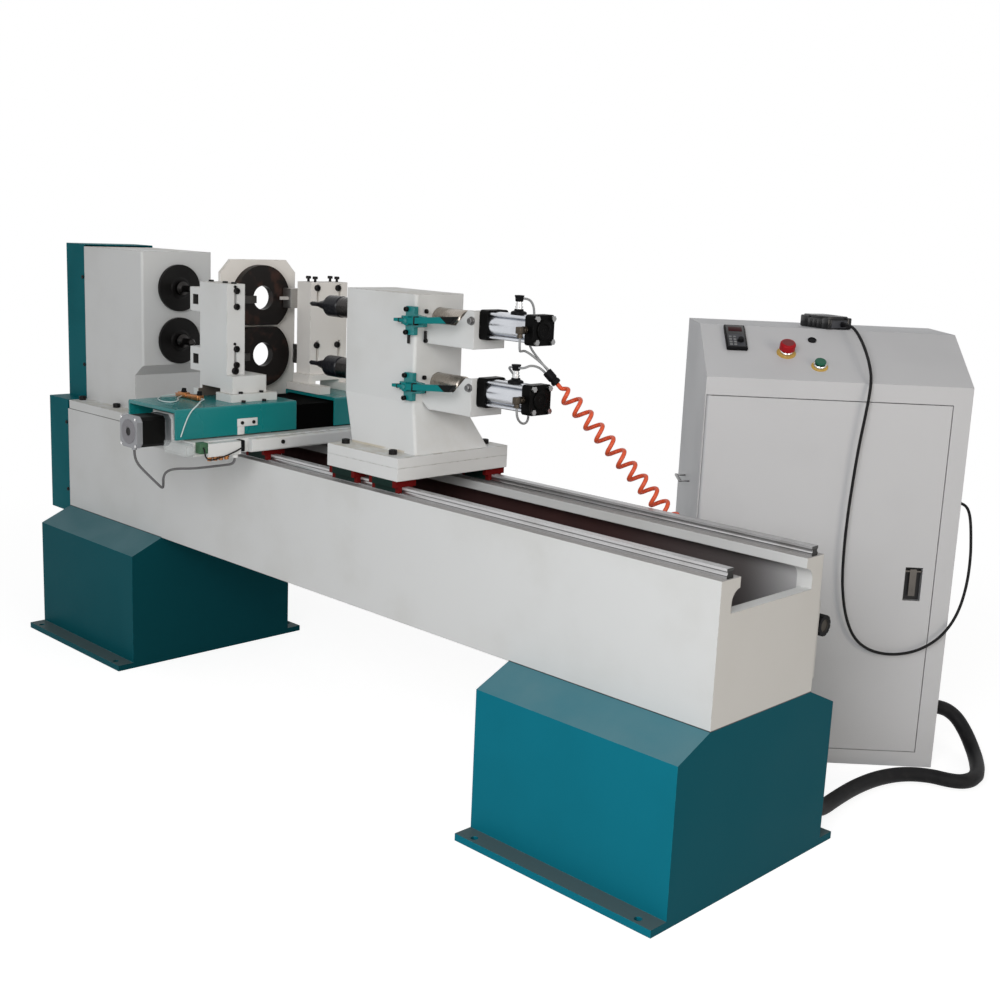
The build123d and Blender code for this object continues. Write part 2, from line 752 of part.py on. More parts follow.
# Spindles: shaft, faceplate and belt pulley turned about one axis
TRACK_COUNTS = (2, 1)
for name, axis_height, track_x, track_count in zip(NAMES, AXES, (INNER_TRACK, OUTER_TRACK), TRACK_COUNTS):
    with BuildPart() as spindle:
        pulley = pulley_steps(track_x, PULLEY_RADIUS, track_count)
        steps = [(SPINDLE_LEFT, SPINDLE_RADIUS), (pulley[0][0], SPINDLE_RADIUS)]
        steps += pulley
        steps += [
            (pulley[-1][0], SPINDLE_RADIUS),
            (FACE_X - FACEPLATE_THICK, SPINDLE_RADIUS),
            (FACE_X - FACEPLATE_THICK, FACEPLATE_RADIUS - 3),
            (FACE_X - FACEPLATE_THICK + 3, FACEPLATE_RADIUS),
            (FACE_X - 4, FACEPLATE_RADIUS),
            (FACE_X - 2, CENTER_COLLAR + 14),
            (FACE_X, CENTER_COLLAR + 8),
        ]
        turn(axis_height, steps)
    keep(spindle, f"{name}_spindle")

    with BuildPart() as drive_center:
        tip_x = FACE_X + CENTER_LENGTH
        steps = [
            (FACE_X, CENTER_COLLAR),
            (FACE_X + 14, CENTER_COLLAR),
            (FACE_X + 20, CENTER_SHANK),
            (tip_x - 20, CENTER_SHANK),
            (tip_x, 0.5),
        ]
        turn(axis_height, steps)
    keep(drive_center, f"{name}_drive_center")

# Drive motor in the bed's left end
with BuildPart() as drive_motor:
    motor_left = trough_left + 2
    motor_right = motor_left + MOTOR_LENGTH
    shield = MOTOR_LENGTH * 0.12
    turn(
        MOTOR_HEIGHT,
        [
            (motor_left, MOTOR_RADIUS * 0.55),
            (motor_left + shield / 2, MOTOR_RADIUS - MOTOR_FIN),
            (motor_right - shield, MOTOR_RADIUS - MOTOR_FIN),
            (motor_right - shield, MOTOR_RADIUS),
            (motor_right - 6, MOTOR_RADIUS),
            (motor_right, MOTOR_RADIUS - 8),
        ],
    )
    with BuildSketch(Plane.YZ.offset(motor_left + shield)):
        with Locations((0, MOTOR_HEIGHT)):
            with PolarLocations(MOTOR_RADIUS - MOTOR_FIN / 2 - 1, MOTOR_FIN_COUNT):
                Rectangle(MOTOR_FIN + 2, 3)
    extrude(amount=MOTOR_LENGTH - 2 * shield)
    foot_ends = (motor_left + 2 * shield, motor_right - 2 * shield)
    span(foot_ends, (-MOTOR_FOOT / 2, MOTOR_FOOT / 2), (TROUGH_FLOOR, TROUGH_FLOOR + 12))
    span(foot_ends, (-MOTOR_FOOT / 4, MOTOR_FOOT / 4), (TROUGH_FLOOR, MOTOR_HEIGHT - MOTOR_RADIUS / 2))
    rod(
        (motor_left, motor_left + MOTOR_SHAFT_DEPTH + 2),
        MOTOR_HEIGHT,
        MOTOR_SHAFT + RUNNING_GAP,
        mode=Mode.SUBTRACT,
    )
keep(drive_motor, "drive_motor")

with BuildPart() as motor_pulley:
    pulley = pulley_steps(INNER_TRACK, MOTOR_PULLEY_RADIUS, 1)
    shaft_end = motor_left + MOTOR_SHAFT_DEPTH
    turn(MOTOR_HEIGHT, pulley + [(pulley[-1][0], MOTOR_SHAFT), (shaft_end, MOTOR_SHAFT)])
keep(motor_pulley, "motor_pulley")

# Drive belts: motor to lower spindle, lower spindle to upper spindle
BELT_RUNS = (
    (INNER_TRACK, MOTOR_HEIGHT, MOTOR_PULLEY_RADIUS, LOWER_AXIS, PULLEY_RADIUS),
    (OUTER_TRACK, LOWER_AXIS, PULLEY_RADIUS, UPPER_AXIS, PULLEY_RADIUS),
)
with BuildPart() as drive_belts:
    for track_x, low, low_radius, high, high_radius in BELT_RUNS:
        for grow, mode in ((BELT_GAP + BELT_THICK, Mode.ADD), (BELT_GAP, Mode.SUBTRACT)):
            with BuildSketch(Plane.YZ.offset(track_x - BELT_WIDTH / 2)):
                with Locations((0, low)):
                    Circle(low_radius + grow)
                with Locations((0, high)):
                    Circle(high_radius + grow)
                make_hull()
            extrude(amount=BELT_WIDTH, mode=mode)
keep(drive_belts, "drive_belts")


def sheet_box(x, y, z, open_top=None, open_bottom=False):
    """A sheet-metal cover, open towards the machine, with a window in its top or no bottom."""
    span(x, y, z)
    floor = z[0] if open_bottom else z[0] + COVER_SHEET
    inside_y = (y[0] + COVER_SHEET, y[1] - COVER_SHEET)
    span((x[0] + COVER_SHEET, x[1]), inside_y, (floor, z[1] - COVER_SHEET), mode=Mode.SUBTRACT)
    if open_top:
        window = (-open_top / 2, open_top / 2)
        span((x[0] + 3 * COVER_SHEET, x[1]), window, (z[1] - COVER_SHEET, z[1]), mode=Mode.SUBTRACT)


# Covers over the belts
with BuildPart() as spindle_cover:
    sheet_box(
        (HEAD_LEFT - SPINDLE_COVER_DEPTH, HEAD_LEFT),
        (-HEAD_WIDTH / 2, HEAD_WIDTH / 2),
        (HEAD_BASE, HEAD_TOP + SPINDLE_COVER_RISE),
        open_bottom=True,
    )
    fillet(spindle_cover.edges().filter_by(Axis.Z).group_by(Axis.X)[0], COVER_SHEET * 2)
keep(spindle_cover, "spindle_cover")

with BuildPart() as drive_cover:
    cover_x = (-BED_END - DRIVE_COVER_DEPTH, -BED_END)
    sheet_box(
        cover_x,
        (BED_FRONT, BED_BACK),
        (DRIVE_COVER_BOTTOM, HEAD_BASE),
        open_top=BELT_WINDOW,
    )
    fillet(drive_cover.edges().filter_by(Axis.Z).group_by(Axis.X)[0], COVER_SHEET * 2)
keep(drive_cover, "drive_cover")

# Feed rack under the bed's front lip, and the pinion that climbs along it
ADDENDUM = GEAR_MODULE
DEDENDUM = 1.25 * GEAR_MODULE
TOOTH_PITCH = pi * GEAR_MODULE
RACK_ROOT = -TROUGH_HALF + RACK_BACK
PITCH_LINE = RACK_ROOT + DEDENDUM
PINION_RADIUS = GEAR_MODULE * PINION_TEETH / 2
PINION_X = CARRIAGE_X
PINION_Y = PITCH_LINE + PINION_RADIUS
RACK_BOTTOM = LIP_BOTTOM - LIP_CURVE - COVER_GAP / 2 - RACK_HEIGHT
SHELF_TOP = RACK_BOTTOM - COVER_GAP / 2
SHELF_BOTTOM = SHELF_TOP - HANGER_THICK
FLANK = tan(radians(20))
TOOTH_HALF = TOOTH_PITCH / 4 - TOOTH_BACKLASH / 2

with BuildPart() as feed_rack:
    teeth = []
    for tooth in range(RACK_TEETH):
        center = PINION_X + (tooth - RACK_TEETH // 2) * TOOTH_PITCH
        root, tip = TOOTH_HALF + DEDENDUM * FLANK, TOOTH_HALF - ADDENDUM * FLANK
        teeth += [
            (center - root, RACK_ROOT),
            (center - tip, PITCH_LINE + ADDENDUM),
            (center + tip, PITCH_LINE + ADDENDUM),
            (center + root, RACK_ROOT),
        ]
    ends = [(teeth[-1][0] + GEAR_MODULE, -TROUGH_HALF), (teeth[0][0] - GEAR_MODULE, -TROUGH_HALF)]
    corners = [(ends[1][0], RACK_ROOT), (ends[0][0], RACK_ROOT)]
    extrude(
        outline(Plane.XY.offset(RACK_BOTTOM), [corners[0]] + teeth + [corners[1]] + ends),
        amount=RACK_HEIGHT,
    )
keep(feed_rack, "feed_rack")

with BuildPart() as feed_pinion:
    gear = []
    for tooth in range(PINION_TEETH):
        middle = -pi / 2 + (tooth + 0.5) * 2 * pi / PINION_TEETH
        for radius, half_width in (
            (PINION_RADIUS - DEDENDUM, TOOTH_HALF + 0.45 * DEDENDUM * FLANK),
            (PINION_RADIUS, TOOTH_HALF),
            (PINION_RADIUS + ADDENDUM, TOOTH_HALF - 1.25 * ADDENDUM * FLANK),
        ):
            swing = half_width / radius
            gear.append((middle - swing, middle + swing, radius))
    flank_count = 3
    points = []
    for tooth in range(PINION_TEETH):
        steps = gear[tooth * flank_count : (tooth + 1) * flank_count]
        sides = [(start, radius) for start, _, radius in steps]
        sides += [(end, radius) for _, end, radius in reversed(steps)]
        points += [(PINION_X + r * cos(a), PINION_Y + r * sin(a)) for a, r in sides]
    extrude(outline(Plane.XY.offset(RACK_BOTTOM), points), amount=RACK_HEIGHT)
    shaft_end = SHELF_BOTTOM + RUNNING_GAP
    bar((PINION_X, PINION_Y, RACK_BOTTOM), (PINION_X, PINION_Y, shaft_end), PINION_SHAFT)
keep(feed_pinion, "feed_pinion")

# Saddle: guide plate with screw supports, side strip, limit switch and motor hanger
HANGER_Y = PINION_Y + PINION_RADIUS + ADDENDUM + COVER_GAP
SUPPORT_TOP = SCREW_HEIGHT + STEPPER_SIZE / 2 + 4
with BuildPart() as saddle:
    span((SADDLE_LEFT, SADDLE_RIGHT), (SADDLE_FRONT, -SADDLE_FRONT), (SADDLE_BOTTOM, SADDLE_TOP))
    span(
        (SADDLE_RIGHT, SADDLE_RIGHT + SIDE_STRIP),
        (STRIP_START, -SADDLE_FRONT),
        (SADDLE_BOTTOM, SADDLE_TOP - 3),
    )
    fillet(saddle.edges().filter_by(Axis.Y).group_by(Axis.X)[-1], SIDE_STRIP * 0.35)
    span(
        (SADDLE_RIGHT, SADDLE_RIGHT + SWITCH_DEPTH),
        (SWITCH_START, SWITCH_END),
        (SADDLE_BOTTOM, SADDLE_TOP - 3),
    )
    for support_y in (SADDLE_FRONT, -SADDLE_FRONT - SCREW_SUPPORT):
        span(
            (SLIDE_X - SCREW_SUPPORT_WIDTH / 2, SLIDE_X + SCREW_SUPPORT_WIDTH / 2),
            (support_y, support_y + SCREW_SUPPORT),
            (SADDLE_BOTTOM, SUPPORT_TOP),
        )
        bar(
            (SLIDE_X, support_y - 1, SCREW_HEIGHT),
            (SLIDE_X, support_y + SCREW_SUPPORT + 1, SCREW_HEIGHT),
            SCREW_RADIUS + RUNNING_GAP,
            mode=Mode.SUBTRACT,
        )
    shelf_x = (PINION_X - FEED_MOTOR_SIZE / 2, PINION_X + FEED_MOTOR_SIZE / 2)
    span(shelf_x, (HANGER_Y, HANGER_Y + HANGER_THICK), (SHELF_BOTTOM, SADDLE_BOTTOM))
    span(shelf_x, (PINION_Y - FEED_MOTOR_SIZE / 2, HANGER_Y), (SHELF_BOTTOM, SHELF_TOP))
    bar(
        (PINION_X, PINION_Y, SHELF_BOTTOM - 1),
        (PINION_X, PINION_Y, SHELF_TOP + 1),
        PINION_SHAFT + RUNNING_GAP,
        mode=Mode.SUBTRACT,
    )
    cable_gland = (SADDLE_RIGHT + SWITCH_DEPTH / 2, SWITCH_END - 12, SADDLE_BOTTOM)
    bar(cable_gland, Vector(cable_gland) - (0, 0, 10), CABLE_GLAND_RADIUS)
keep(saddle, "saddle")


def stepper(plane, size, length):
    """A stepper motor with cut corners and thicker end caps, standing on its mounting plane."""
    with BuildSketch(plane) as flange:
        Rectangle(size, size)
        chamfer(flange.vertices(), STEPPER_CORNER * size / STEPPER_SIZE)
    extrude(flange.sketch, amount=STEPPER_CAP)
    with BuildSketch(plane.offset(STEPPER_CAP)) as stack:
        Rectangle(size - 4, size - 4)
        chamfer(stack.vertices(), STEPPER_CORNER * 0.6 * size / STEPPER_SIZE)
    extrude(stack.sketch, amount=length - 2 * STEPPER_CAP)
    with BuildSketch(plane.offset(length - STEPPER_CAP)) as cap:
        Rectangle(size, size)
        chamfer(cap.vertices(), STEPPER_CORNER * size / STEPPER_SIZE)
    extrude(cap.sketch, amount=STEPPER_CAP)


# Feed motors: one in front of the cross screw, one under the saddle
CROSS_MOTOR_PLANE = Plane(origin=(SLIDE_X, SADDLE_FRONT, SCREW_HEIGHT), x_dir=(1, 0, 0), z_dir=(0, -1, 0))
FEED_MOTOR_PLANE = Plane(origin=(PINION_X, PINION_Y, SHELF_BOTTOM), x_dir=(1, 0, 0), z_dir=(0, 0, -1))
MOTOR_EXIT = (SLIDE_X + 14, SADDLE_FRONT - STEPPER_LENGTH + STEPPER_CAP / 2, SCREW_HEIGHT - STEPPER_SIZE / 2)
with BuildPart() as feed_motors:
    stepper(CROSS_MOTOR_PLANE, STEPPER_SIZE, STEPPER_LENGTH)
    stepper(FEED_MOTOR_PLANE, FEED_MOTOR_SIZE, STEPPER_LENGTH * 0.8)
    bar(Vector(MOTOR_EXIT) + (0, 0, 4), Vector(MOTOR_EXIT) - (0, 0, 5), MOTOR_CABLE)
keep(feed_motors, "feed_motors")

# Cross rails on the saddle
with BuildPart() as cross_rails:
    for side in (-CROSS_RAIL_SPACING / 2, CROSS_RAIL_SPACING / 2):
        section = rail_points(SLIDE_X + side, SADDLE_TOP, CROSS_RAIL_WIDTH, CROSS_RAIL_HEIGHT)
        extrude(outline(Plane.XZ, section), amount=CROSS_RAIL_LENGTH / 2, both=True)
keep(cross_rails, "cross_rails")

# Cross screw, right-handed to the front and left-handed to the back
with BuildPart() as cross_screw:
    screw_end = -SADDLE_FRONT - RUNNING_GAP
    bar((SLIDE_X, -screw_end, SCREW_HEIGHT), (SLIDE_X, screw_end, SCREW_HEIGHT), SCREW_RADIUS)
keep(cross_screw, "cross_screw")

# Cross slides: inverted troughs on rail blocks, with the screw nut inside
WEB_BOTTOM = SADDLE_TOP + CROSS_BLOCK_LIFT
ROOF_BOTTOM = SLIDE_TOP - SLIDE_ROOF
for slide_name, sign in (("front_slide", -1), ("rear_slide", 1)):
    with BuildPart() as slide:
        left, right = SLIDE_X - SLIDE_WIDTH / 2, SLIDE_X + SLIDE_WIDTH / 2
        inner, outer = sign * SLIDE_INNER_END, sign * (SLIDE_INNER_END + SLIDE_LENGTH)
        ends = (min(inner, outer), max(inner, outer))
        span((left, right), ends, (SADDLE_TOP + SLIDE_LIFT, SLIDE_TOP))
        span(
            (left + SLIDE_SIDE, right - SLIDE_SIDE),
            ends,
            (SADDLE_TOP + SLIDE_LIFT, ROOF_BOTTOM),
            mode=Mode.SUBTRACT,
        )
        fillet(slide.edges().filter_by(Axis.Y).group_by(Axis.Z)[-1], SLIDE_SIDE)
        web = (sign * WEB_START, sign * (WEB_START + WEB_LENGTH))
        web_ends = (min(web), max(web))
        for rail_x in (SLIDE_X - CROSS_RAIL_SPACING / 2, SLIDE_X + CROSS_RAIL_SPACING / 2):
            slot = CROSS_RAIL_WIDTH / 2 + GUIDE_GAP
            roof = SADDLE_TOP + CROSS_RAIL_HEIGHT + GUIDE_GAP
            wide, neck = CROSS_BLOCK_WIDTH / 2, WEB_WIDTH / 2
            shoulder = roof + 10
            half = [
                (slot, roof),
                (slot, WEB_BOTTOM),
                (wide, WEB_BOTTOM),
                (wide, shoulder),
                (neck, shoulder),
                (neck, ROOF_BOTTOM),
            ]
            section = half + [(-x, z) for x, z in reversed(half)]
            points = [(rail_x + x, z) for x, z in section]
            extrude(outline(Plane.XZ.offset(-web_ends[1]), points), amount=WEB_LENGTH)
        nut = (sign * (WEB_START + NUT_INSET), sign * (WEB_START + NUT_INSET + NUT_LENGTH))
        nut_ends = (min(nut), max(nut))
        span((SLIDE_X - NUT_WIDTH / 2, SLIDE_X + NUT_WIDTH / 2), nut_ends, (WEB_BOTTOM, ROOF_BOTTOM))
        bar(
            (SLIDE_X, nut_ends[0], SCREW_HEIGHT),
            (SLIDE_X, nut_ends[1], SCREW_HEIGHT),
            SCREW_RADIUS + RUNNING_GAP,
            mode=Mode.SUBTRACT,
        )
    keep(slide, slide_name)

# Fixed cover between the two slides
with BuildPart() as center_cover:
    inset = SLIDE_SIDE + COVER_GAP
    cover_x = (SLIDE_X - SLIDE_WIDTH / 2 + inset, SLIDE_X + SLIDE_WIDTH / 2 - inset)
    cover_y = (-CENTER_COVER_LENGTH / 2, CENTER_COVER_LENGTH / 2)
    cover_top = ROOF_BOTTOM - CENTER_COVER_DROP
    span(cover_x, cover_y, (SADDLE_TOP, cover_top))
    span(
        (cover_x[0] + COVER_SHEET, cover_x[1] - COVER_SHEET),
        cover_y,
        (SADDLE_TOP, cover_top - COVER_SHEET),
        mode=Mode.SUBTRACT,
    )
keep(center_cover, "center_cover")

# Ring steady: an eight-sided plate with two rings in line with the spindles
STEADY_LEFT = SADDLE_LEFT + STEADY_INSET
with BuildPart() as ring_plate:
    half, top_half = STEADY_WIDTH / 2, STEADY_TOP_WIDTH / 2
    shape = [
        (-half, SADDLE_TOP),
        (half, SADDLE_TOP),
        (half, STEADY_TOP - STEADY_CORNER),
        (top_half, STEADY_TOP),
        (-top_half, STEADY_TOP),
        (-half, STEADY_TOP - STEADY_CORNER),
    ]
    extrude(outline(Plane.YZ.offset(STEADY_LEFT), shape), amount=STEADY_THICK)
    for axis_height in AXES:
        rod((STEADY_LEFT, STEADY_LEFT + STEADY_THICK), axis_height, PLATE_BORE, mode=Mode.SUBTRACT)
    span(
        (SADDLE_LEFT, SADDLE_LEFT + STEADY_FOOT),
        (-half, half),
        (SADDLE_TOP, SADDLE_TOP + STEADY_FOOT_THICK),
    )
keep(ring_plate, "ring_plate")

with BuildPart() as steady_rings:
    for axis_height in AXES:
        rod((RING_FACE - RING_THICK, RING_FACE), axis_height, RING_RADIUS)
    span(
        (RING_FACE - RING_THICK, RING_FACE),
        (-RING_RADIUS, RING_RADIUS),
        (LOWER_AXIS + AXIS_SPACING / 2 - RING_SPLIT, LOWER_AXIS + AXIS_SPACING / 2 + RING_SPLIT),
        mode=Mode.SUBTRACT,
    )
    for axis_height in AXES:
        rod((RING_FACE - RING_THICK, RING_FACE), axis_height, RING_BORE, mode=Mode.SUBTRACT)
keep(steady_rings, "steady_rings")

# Front tool post: a bridge-footed column with bolt slots and two square tool sleeves
TOOL_X = POST_LEFT - SLEEVE_WIDTH / 2 + 3
SOCKET = TOOL_SIZE + TOOL_ROOM
FRONT_POST_FRONT = FRONT_POST_Y - FRONT_POST_DEPTH / 2
with BuildPart() as front_tool_post:
    post_x = (POST_LEFT, POST_LEFT + FRONT_POST_WIDTH)
    base_x = (POST_LEFT, FRONT_BASE_RIGHT)
    base_y = (FRONT_POST_FRONT, FRONT_BASE_INNER)
    margin = POST_SHOE_MARGIN
    span(
        (base_x[0] - margin, base_x[1] + margin),
        (base_y[0] - margin, base_y[1] + 2 * margin),
        (SLIDE_TOP, SLIDE_TOP + POST_SHOE),
    )
    span(base_x, base_y, (SLIDE_TOP, SLIDE_TOP + POST_BASE_HEIGHT))
    span(post_x, (FRONT_POST_FRONT, FRONT_POST_FRONT + FRONT_POST_DEPTH), (SLIDE_TOP, POST_TOP))
    gap_left = POST_LEFT + POST_GAP_INSET
    span(
        (gap_left, gap_left + POST_GAP_WIDTH),
        (base_y[0] - margin, base_y[1] + 2 * margin),
        (SLIDE_TOP, SLIDE_TOP + POST_GAP_HEIGHT),
        mode=Mode.SUBTRACT,
    )
    for axis_height in AXES:
        slot_y = (FRONT_POST_Y - SLOT_WIDTH / 2, FRONT_POST_Y + SLOT_WIDTH / 2)
        slot_center = axis_height + SLOT_RISE
        slot_z = (slot_center - SLOT_LENGTH / 2, slot_center + SLOT_LENGTH / 2)
        span((post_x[1] - SLOT_DEPTH, post_x[1]), slot_y, slot_z, mode=Mode.SUBTRACT)
        sleeve_y = (FRONT_POST_FRONT, FRONT_POST_FRONT + SLEEVE_LENGTH)
        sleeve_z = (axis_height - SLEEVE_HEIGHT / 2, axis_height + SLEEVE_HEIGHT / 2)
        span((POST_LEFT - SLEEVE_WIDTH, POST_LEFT), sleeve_y, sleeve_z)
        span(
            (TOOL_X - SOCKET / 2, TOOL_X + SOCKET / 2),
            sleeve_y,
            (axis_height - SOCKET / 2, axis_height + SOCKET / 2),
            mode=Mode.SUBTRACT,
        )
keep(front_tool_post, "front_tool_post")

# Front tools: square bars with a pointed cutting end
with BuildPart() as front_tools:
    for axis_height, reach in zip(AXES, (LOWER_TOOL_REACH, TOOL_REACH)):
        tip_y, shank_y = -reach, -TOOL_REACH - TOOL_LENGTH
        half = TOOL_SIZE / 2
        plan = [
            (TOOL_X - half, shank_y),
            (TOOL_X + half, shank_y),
            (TOOL_X + half, tip_y - TOOL_TIP),
            (TOOL_X + 2, tip_y),
            (TOOL_X - 2, tip_y),
            (TOOL_X - half, tip_y - TOOL_TIP),
        ]
        extrude(outline(Plane.XY.offset(axis_height - SOCKET / 2), plan), amount=TOOL_SIZE)
keep(front_tools, "front_tools")

# Rear tool post: the same column turned a quarter, with two slots side by side
with BuildPart() as rear_tool_post:
    post_x = (POST_LEFT, POST_LEFT + REAR_POST_WIDTH)
    post_y = (REAR_POST_Y - REAR_POST_DEPTH / 2, REAR_POST_Y + REAR_POST_DEPTH / 2)
    margin = POST_SHOE_MARGIN
    shoe_x = (post_x[0] - margin, post_x[0] - margin + REAR_SHOE_WIDTH)
    shoe_y = (post_y[0] - 2 * margin, post_y[1] + margin)
    span(shoe_x, shoe_y, (SLIDE_TOP, SLIDE_TOP + POST_SHOE))
    span(
        (post_x[0], post_x[1] + margin),
        (post_y[0] - margin, post_y[1]),
        (SLIDE_TOP, SLIDE_TOP + REAR_STEP_HEIGHT),
    )
    span(post_x, post_y, (SLIDE_TOP, POST_TOP))
    gap_y = post_y[0] + POST_GAP_INSET
    span(
        shoe_x,
        (gap_y, gap_y + POST_GAP_WIDTH),
        (SLIDE_TOP, SLIDE_TOP + POST_GAP_HEIGHT),
        mode=Mode.SUBTRACT,
    )
    for axis_height in AXES:
        slot_center = axis_height + SLOT_RISE
        slot_z = (slot_center - SLOT_LENGTH / 2, slot_center + SLOT_LENGTH / 2)
        for slot_y in (REAR_POST_Y - SLOT_SPACING / 2, REAR_POST_Y + SLOT_SPACING / 2):
            slot_ends = (slot_y - SLOT_WIDTH / 2, slot_y + SLOT_WIDTH / 2)
            span((post_x[1] - SLOT_DEPTH, post_x[1]), slot_ends, slot_z, mode=Mode.SUBTRACT)
keep(rear_tool_post, "rear_tool_post")

# Rear tool holders: a solid one with its cutter above, an empty square sleeve below
with BuildPart() as rear_tool_holders:
    holder_x = (POST_LEFT - HOLDER_WIDTH, POST_LEFT)
    holder_end = post_y[1]
    upper_z = (UPPER_AXIS - HOLDER_HEIGHT / 2, UPPER_AXIS + HOLDER_HEIGHT / 2)
    lower_z = (LOWER_AXIS - HOLDER_HEIGHT / 2, LOWER_AXIS + HOLDER_HEIGHT / 2)
    span(holder_x, (HOLDER_REACH, holder_end), upper_z)
    cutter_x = (TOOL_X - TOOL_SIZE / 2, TOOL_X + TOOL_SIZE / 2)
    cutter = [
        (cutter_x[0], HOLDER_REACH),
        (TOOL_X - 2, HOLDER_REACH - CUTTER_LENGTH),
        (TOOL_X + 2, HOLDER_REACH - CUTTER_LENGTH),
        (cutter_x[1], HOLDER_REACH),
    ]
    extrude(outline(Plane.XY.offset(UPPER_AXIS - CUTTER_THICK / 2), cutter), amount=CUTTER_THICK)
    span(holder_x, (LOWER_HOLDER_REACH, holder_end), lower_z)
    span(
        (TOOL_X - SOCKET / 2, TOOL_X + SOCKET / 2),
        (LOWER_HOLDER_REACH, holder_end),
        (LOWER_AXIS - SOCKET / 2, LOWER_AXIS + SOCKET / 2),
        mode=Mode.SUBTRACT,
    )
keep(rear_tool_holders, "rear_tool_holders")

# Tailstock plate and column: the column tapers up and leans towards the headstock
with BuildPart() as tail_plate:
    tail_x = (TAIL_LEFT, TAIL_LEFT + TAIL_LENGTH)
    tail_y = (-TAIL_WIDTH / 2, TAIL_WIDTH / 2)
    span(tail_x, tail_y, (SADDLE_BOTTOM, SADDLE_BOTTOM + TAIL_PLATE))
keep(tail_plate, "tail_plate")

with BuildPart() as tail_column:
    span(tail_x, tail_y, (SADDLE_BOTTOM + TAIL_PLATE, FLANGE_TOP))
    with BuildSketch(Plane.XY.offset(FLANGE_TOP)) as column_base:
        with Locations((TAIL_X + COLUMN_BASE_SHIFT, 0)):
            RectangleRounded(COLUMN_BASE_LENGTH, COLUMN_BASE_WIDTH, COLUMN_ROUND)
    with BuildSketch(Plane.XY.offset(COLUMN_NECK)) as column_neck:
        with Locations((COLUMN_X, 0)):
            RectangleRounded(COLUMN_LENGTH, COLUMN_WIDTH, COLUMN_ROUND)
    loft(ruled=True)
    with BuildSketch(Plane.XY.offset(COLUMN_NECK)):
        with Locations((COLUMN_X, 0)):
            RectangleRounded(COLUMN_LENGTH, COLUMN_WIDTH, COLUMN_ROUND)
    extrude(amount=COLUMN_TOP - COLUMN_NECK)
    for axis_height in AXES:
        rod((COLUMN_LEFT, COLUMN_RIGHT), axis_height, QUILL_RADIUS + RUNNING_GAP, mode=Mode.SUBTRACT)
keep(tail_column, "tail_column")

# Quills with their piston rods, and the live centres in their noses
PISTON_X = BARREL_X + PISTON_START
QUILL_LEFT = COLUMN_LEFT - QUILL_FRONT
for name, axis_height in zip(NAMES, AXES):
    with BuildPart() as quill:
        quill_right = COLUMN_RIGHT + QUILL_BACK
        steps = [
            (QUILL_LEFT, QUILL_RADIUS - 2),
            (QUILL_LEFT + 2, QUILL_RADIUS),
            (quill_right - 3, QUILL_RADIUS),
            (quill_right, QUILL_RADIUS - 3),
            (quill_right, ROD_RADIUS),
            (PISTON_X, ROD_RADIUS),
            (PISTON_X, BARREL_BORE - RUNNING_GAP),
            (PISTON_X + PISTON_THICK, BARREL_BORE - RUNNING_GAP),
        ]
        turn(axis_height, steps)
    keep(quill, f"{name}_quill")

    with BuildPart() as live_center:
        back = QUILL_LEFT - RUNNING_GAP
        shoulder = back - NOSE_LENGTH
        cone = shoulder - NOSE_CONE
        steps = [
            (cone - NOSE_POINT, 0.5),
            (cone - NOSE_POINT + 12, NOSE_POINT_RADIUS),
            (cone, NOSE_POINT_RADIUS),
            (shoulder, NOSE_CONE_RADIUS),
            (shoulder, NOSE_RADIUS - 4),
            (shoulder + 4, NOSE_RADIUS),
            (back - 3, NOSE_RADIUS),
            (back, NOSE_RADIUS - 3),
        ]
        turn(axis_height, steps)
    keep(live_center, f"{name}_live_center")

# Quill brackets: open channels that carry the cylinders behind the column
with BuildPart() as quill_brackets:
    for axis_height in AXES:
        corner = BRACKET_CORNER if axis_height == LOWER_AXIS else BRACKET_WALL / 2
        side_view = [
            (COLUMN_RIGHT, axis_height - BRACKET_DROP + corner * 0.7),
            (COLUMN_RIGHT + corner, axis_height - BRACKET_DROP),
            (CYLINDER_X, axis_height - BRACKET_DROP),
            (CYLINDER_X, axis_height + BRACKET_RISE),
            (CYLINDER_X - BRACKET_HIGH_LENGTH, axis_height + BRACKET_RISE),
            (COLUMN_RIGHT + BRACKET_LOW_LENGTH, axis_height + BRACKET_WALL_TOP),
            (COLUMN_RIGHT, axis_height + BRACKET_WALL_TOP),
        ]
        extrude(outline(Plane.XZ, side_view), amount=BRACKET_WIDTH / 2, both=True)
        inside = BRACKET_WIDTH / 2 - BRACKET_WALL
        span(
            (COLUMN_RIGHT, CYLINDER_X - BRACKET_PLATE),
            (-inside, inside),
            (axis_height - BRACKET_DROP + BRACKET_WALL, axis_height + BRACKET_RISE),
            mode=Mode.SUBTRACT,
        )
        rod(
            (CYLINDER_X - BRACKET_PLATE, CYLINDER_X),
            axis_height,
            ROD_RADIUS + RUNNING_GAP,
            mode=Mode.SUBTRACT,
        )
keep(quill_brackets, "quill_brackets")

# Air cylinders: end caps, barrels and tie rods with nuts
with BuildPart() as cylinder_caps:
    for axis_height in AXES:
        for cap_x in (CYLINDER_X, REAR_CAP_X):
            with BuildSketch(Plane.YZ.offset(cap_x)):
                with Locations((0, axis_height)):
                    RectangleRounded(CAP_SIZE, CAP_SIZE, CAP_ROUND)
                    with GridLocations(TIE_SPACING, TIE_SPACING, 2, 2):
                        Circle(TIE_RADIUS + SEAT_GAP, mode=Mode.SUBTRACT)
            extrude(amount=CAP_THICK)
        rod((CYLINDER_X, BARREL_X), axis_height, ROD_RADIUS + RUNNING_GAP, mode=Mode.SUBTRACT)
keep(cylinder_caps, "cylinder_caps")

